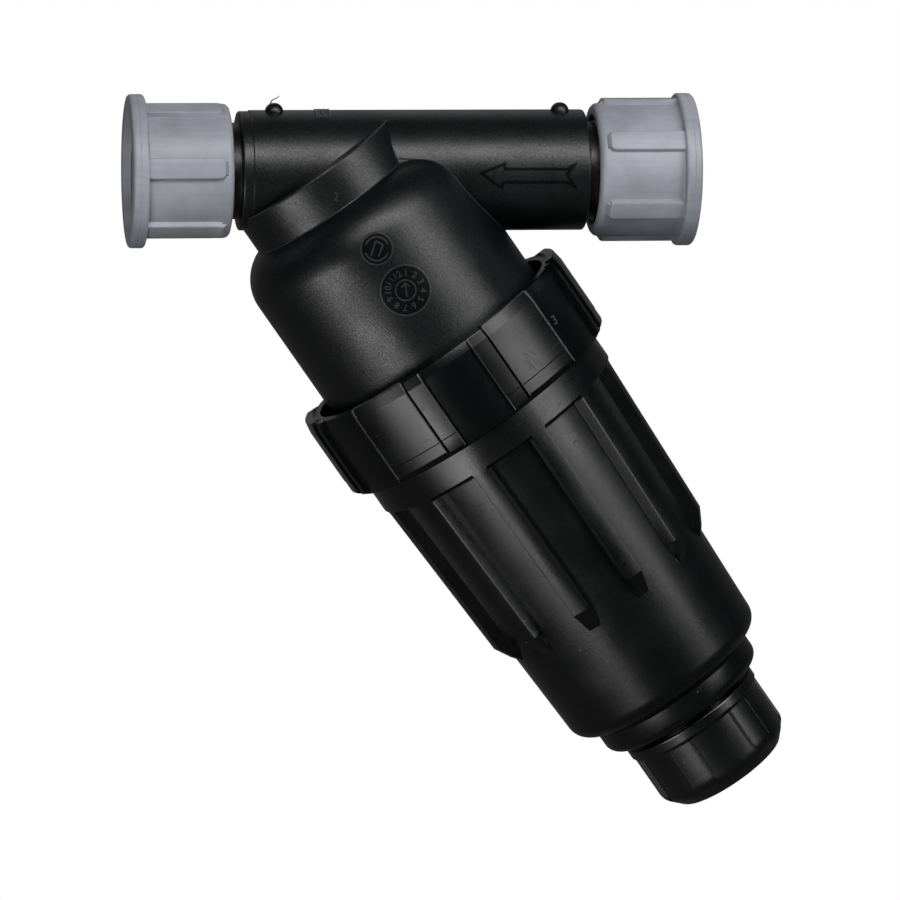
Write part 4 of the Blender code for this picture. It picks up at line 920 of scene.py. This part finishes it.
def woven_steel():
    """Fine woven steel: round wires over and under in both directions. The openings and the wires' edges are
    painted dark: painted shade for the dark inside seen through the weave.
    """
    stuff, tree, shader = new_stuff("woven_steel")
    parts = node(tree, "ShaderNodeSeparateXYZ", node(tree, "ShaderNodeUVMap", uv_map="weave"))
    wires = [maths(tree, "ABSOLUTE", maths(tree, "SINE", parts.outputs[axis])) for axis in ("X", "Y")]
    top_wire = maths(tree, "MAXIMUM", *wires)
    shade = node(tree, "ShaderNodeMapRange", top_wire, 0.55, 0.85, 0.0, 1.0)
    shader("Metallic", 0.9)
    shader("Base Color", mixed(tree, shade, (0.03, 0.03, 0.03), (0.56, 0.56, 0.54)))
    shader("Roughness", node(tree, "ShaderNodeMapRange", top_wire, 0.0, 1.0, 0.75, 0.3))
    shader("Normal", node(tree, "ShaderNodeBump", strength=0.8, distance=0.2 * MM, height=top_wire))
    return stuff


sleeve_corners = [(SLEEVE_INNER, SLEEVE_START, 0.1), (SLEEVE_OUTER, SLEEVE_START, 0.1),
                  (SLEEVE_OUTER, SLEEVE_END, 0.1), (SLEEVE_INNER, SLEEVE_END, 0.1)]
sleeve = skin("screen_sleeve", lathe(divided(rounded(sleeve_corners, 1), 12.0), 128), BRANCH)
weave = sleeve.data.uv_layers.new(name="weave")
flat = BRANCH.inverted()
middle_radius = (SLEEVE_INNER + SLEEVE_OUTER) / 2
for face in sleeve.data.polygons:
    turns = []
    for corner in face.loop_indices:
        p = flat @ sleeve.data.vertices[sleeve.data.loops[corner].vertex_index].co
        turns.append((corner, atan2(p.y, p.x), p.z / MM))
    first = turns[0][1]
    for corner, a, z in turns:
        a += 2 * pi * round((first - a) / (2 * pi))
        weave.data[corner].uv = (a * middle_radius * pi / WIRE_SPACING, z * pi / WIRE_SPACING)
finish_piece(sleeve, woven_steel(), "cartridge", "screen_steel", "screen_mesh")


# The studio: a pale paper sweep, well below the hanging filter and behind it, and a white surround.
# Both are white for the camera, and dim for reflections, so that dark plastic keeps its dark edges.
def stage_colour(tree, lit, dim, share):
    """The lit colour for the camera, and the dim one with a share of the lit one for reflections."""
    ray = node(tree, "ShaderNodeLightPath").outputs
    mirrored = maths(tree, "MAXIMUM", ray["Is Glossy Ray"], ray["Is Transmission Ray"])
    return mixed(tree, maths(tree, "MULTIPLY_ADD", mirrored, share, ray["Is Camera Ray"]), dim, lit)


WHITE = (1.0, 1.0, 1.0)
world = bpy.data.worlds.new("studio")
bpy.context.scene.world = world
world.use_nodes = True
tree = world.node_tree
feed(tree, tree.nodes["Background"].inputs["Color"], stage_colour(tree, WHITE, (0.022, 0.023, 0.024), 0.008))

# The sweep is paper, in metres: a floor, a short slope and a wall. It glows for the camera, and is plain paper
# just under the filter, where the shadow falls.
# In reflections the wall glows a little too, most behind the filter: a painted pool of light that the grazing
# rims show.
FLOOR_LEVEL, FLOOR_FRONT, WALL_FOOT_Y, WALL_Y, WALL_HEIGHT, HALF_WIDTH = -0.8, -4.0, 2.2, 2.4, 4.0, 5.0
profile = ((FLOOR_FRONT, FLOOR_LEVEL), (WALL_FOOT_Y, FLOOR_LEVEL), (WALL_Y, FLOOR_LEVEL + 0.2),
           (WALL_Y, WALL_HEIGHT))
ground = bpy.data.meshes.new("floor")
ground.from_pydata([(x, y, z) for y, z in profile for x in (-HALF_WIDTH, HALF_WIDTH)], [],
                   [(0, 1, 3, 2), (2, 3, 5, 4), (4, 5, 7, 6)])
paper = bpy.data.materials.new("pale_floor")
paper.use_nodes = True
tree = paper.node_tree
tree.nodes.remove(tree.nodes["Principled BSDF"])
here = node(tree, "ShaderNodeTexCoord").outputs["Object"]
from_shadow = node(tree, "ShaderNodeVectorMath", here, (-0.06, 0.05, FLOOR_LEVEL), operation="DISTANCE")
from_right = node(tree, "ShaderNodeVectorMath", here, (0.15, WALL_Y, 0.2), operation="DISTANCE")
shadow_share = node(tree, "ShaderNodeMapRange", from_shadow.outputs["Value"], 0.1, 0.7, 0.35, 0.0)
glow_share = node(tree, "ShaderNodeMapRange", from_right.outputs["Value"], 0.4, 1.6, 0.16, 0.05)
glow = node(tree, "ShaderNodeEmission", stage_colour(tree, WHITE, (0.02, 0.02, 0.02), glow_share))
pale = node(tree, "ShaderNodeBsdfDiffuse", stage_colour(tree, (0.9, 0.9, 0.9), (0.10, 0.10, 0.10), 0.10))
blend = node(tree, "ShaderNodeMixShader", shadow_share, glow, pale)
feed(tree, tree.nodes["Material Output"].inputs["Surface"], blend)
ground.materials.append(paper)
placed("floor", ground)

# Four soft lamps, in metres and watts: a broad one above the front, one on the right, one low on the
# left, as the highlights show, and a weak broad one behind, which lights the upper rims.
AIM = Vector((-0.075, 0.0, -0.055))


def direction(turn, rise):
    """The way out from the part, at degrees right of the front and above the level."""
    turn, rise = radians(turn), radians(rise)
    return Vector((sin(turn) * cos(rise), -cos(turn) * cos(rise), sin(rise)))


for name, turn, rise, distance, width, height, power in (
        ("top_lamp", 8.0, 40.0, 1.0, 1.1, 0.34, 7.7), ("right_lamp", 44.7, 19.9, 0.8, 0.40, 0.32, 1.65),
        ("left_lamp", -40.0, -29.5, 0.85, 0.48, 0.22, 2.5), ("back_lamp", 200.0, 46.0, 1.0, 1.2, 0.7, 0.75)):
    way = direction(turn, rise)
    lamp = bpy.data.lights.new(name, "AREA")
    lamp.shape = "RECTANGLE"
    lamp.size, lamp.size_y, lamp.energy = width, height, power
    holder = placed(name, lamp)
    holder.location = AIM + way * distance
    holder.rotation_euler = way.to_track_quat("Z", "Y").to_euler()
    holder.visible_camera = False

# The camera stands about 1.5 m away, 8 degrees left of the front and 6 degrees above the level. It
# leans by a quarter of a degree, as the photograph does.
CAMERA_PLACE = (-0.26995, -1.48894, 0.09052)
CAMERA_TURN, CAMERA_RISE, CAMERA_LEAN = -8.02, 6.09, radians(0.27)
backward = direction(CAMERA_TURN, CAMERA_RISE)
level = Vector((cos(radians(CAMERA_TURN)), sin(radians(CAMERA_TURN)), 0.0))
above = backward.cross(level)
right = cos(CAMERA_LEAN) * level + sin(CAMERA_LEAN) * above
above = cos(CAMERA_LEAN) * above - sin(CAMERA_LEAN) * level
camera = placed("camera", bpy.data.cameras.new("camera"))
facing = Matrix((right, above, backward)).transposed().to_4x4()
camera.matrix_world = Matrix.Translation(CAMERA_PLACE) @ facing
camera.data.sensor_width = 36.0
camera.data.lens = 242.42
bpy.context.scene.camera = camera

bpy.context.scene.view_settings.view_transform = "Standard"
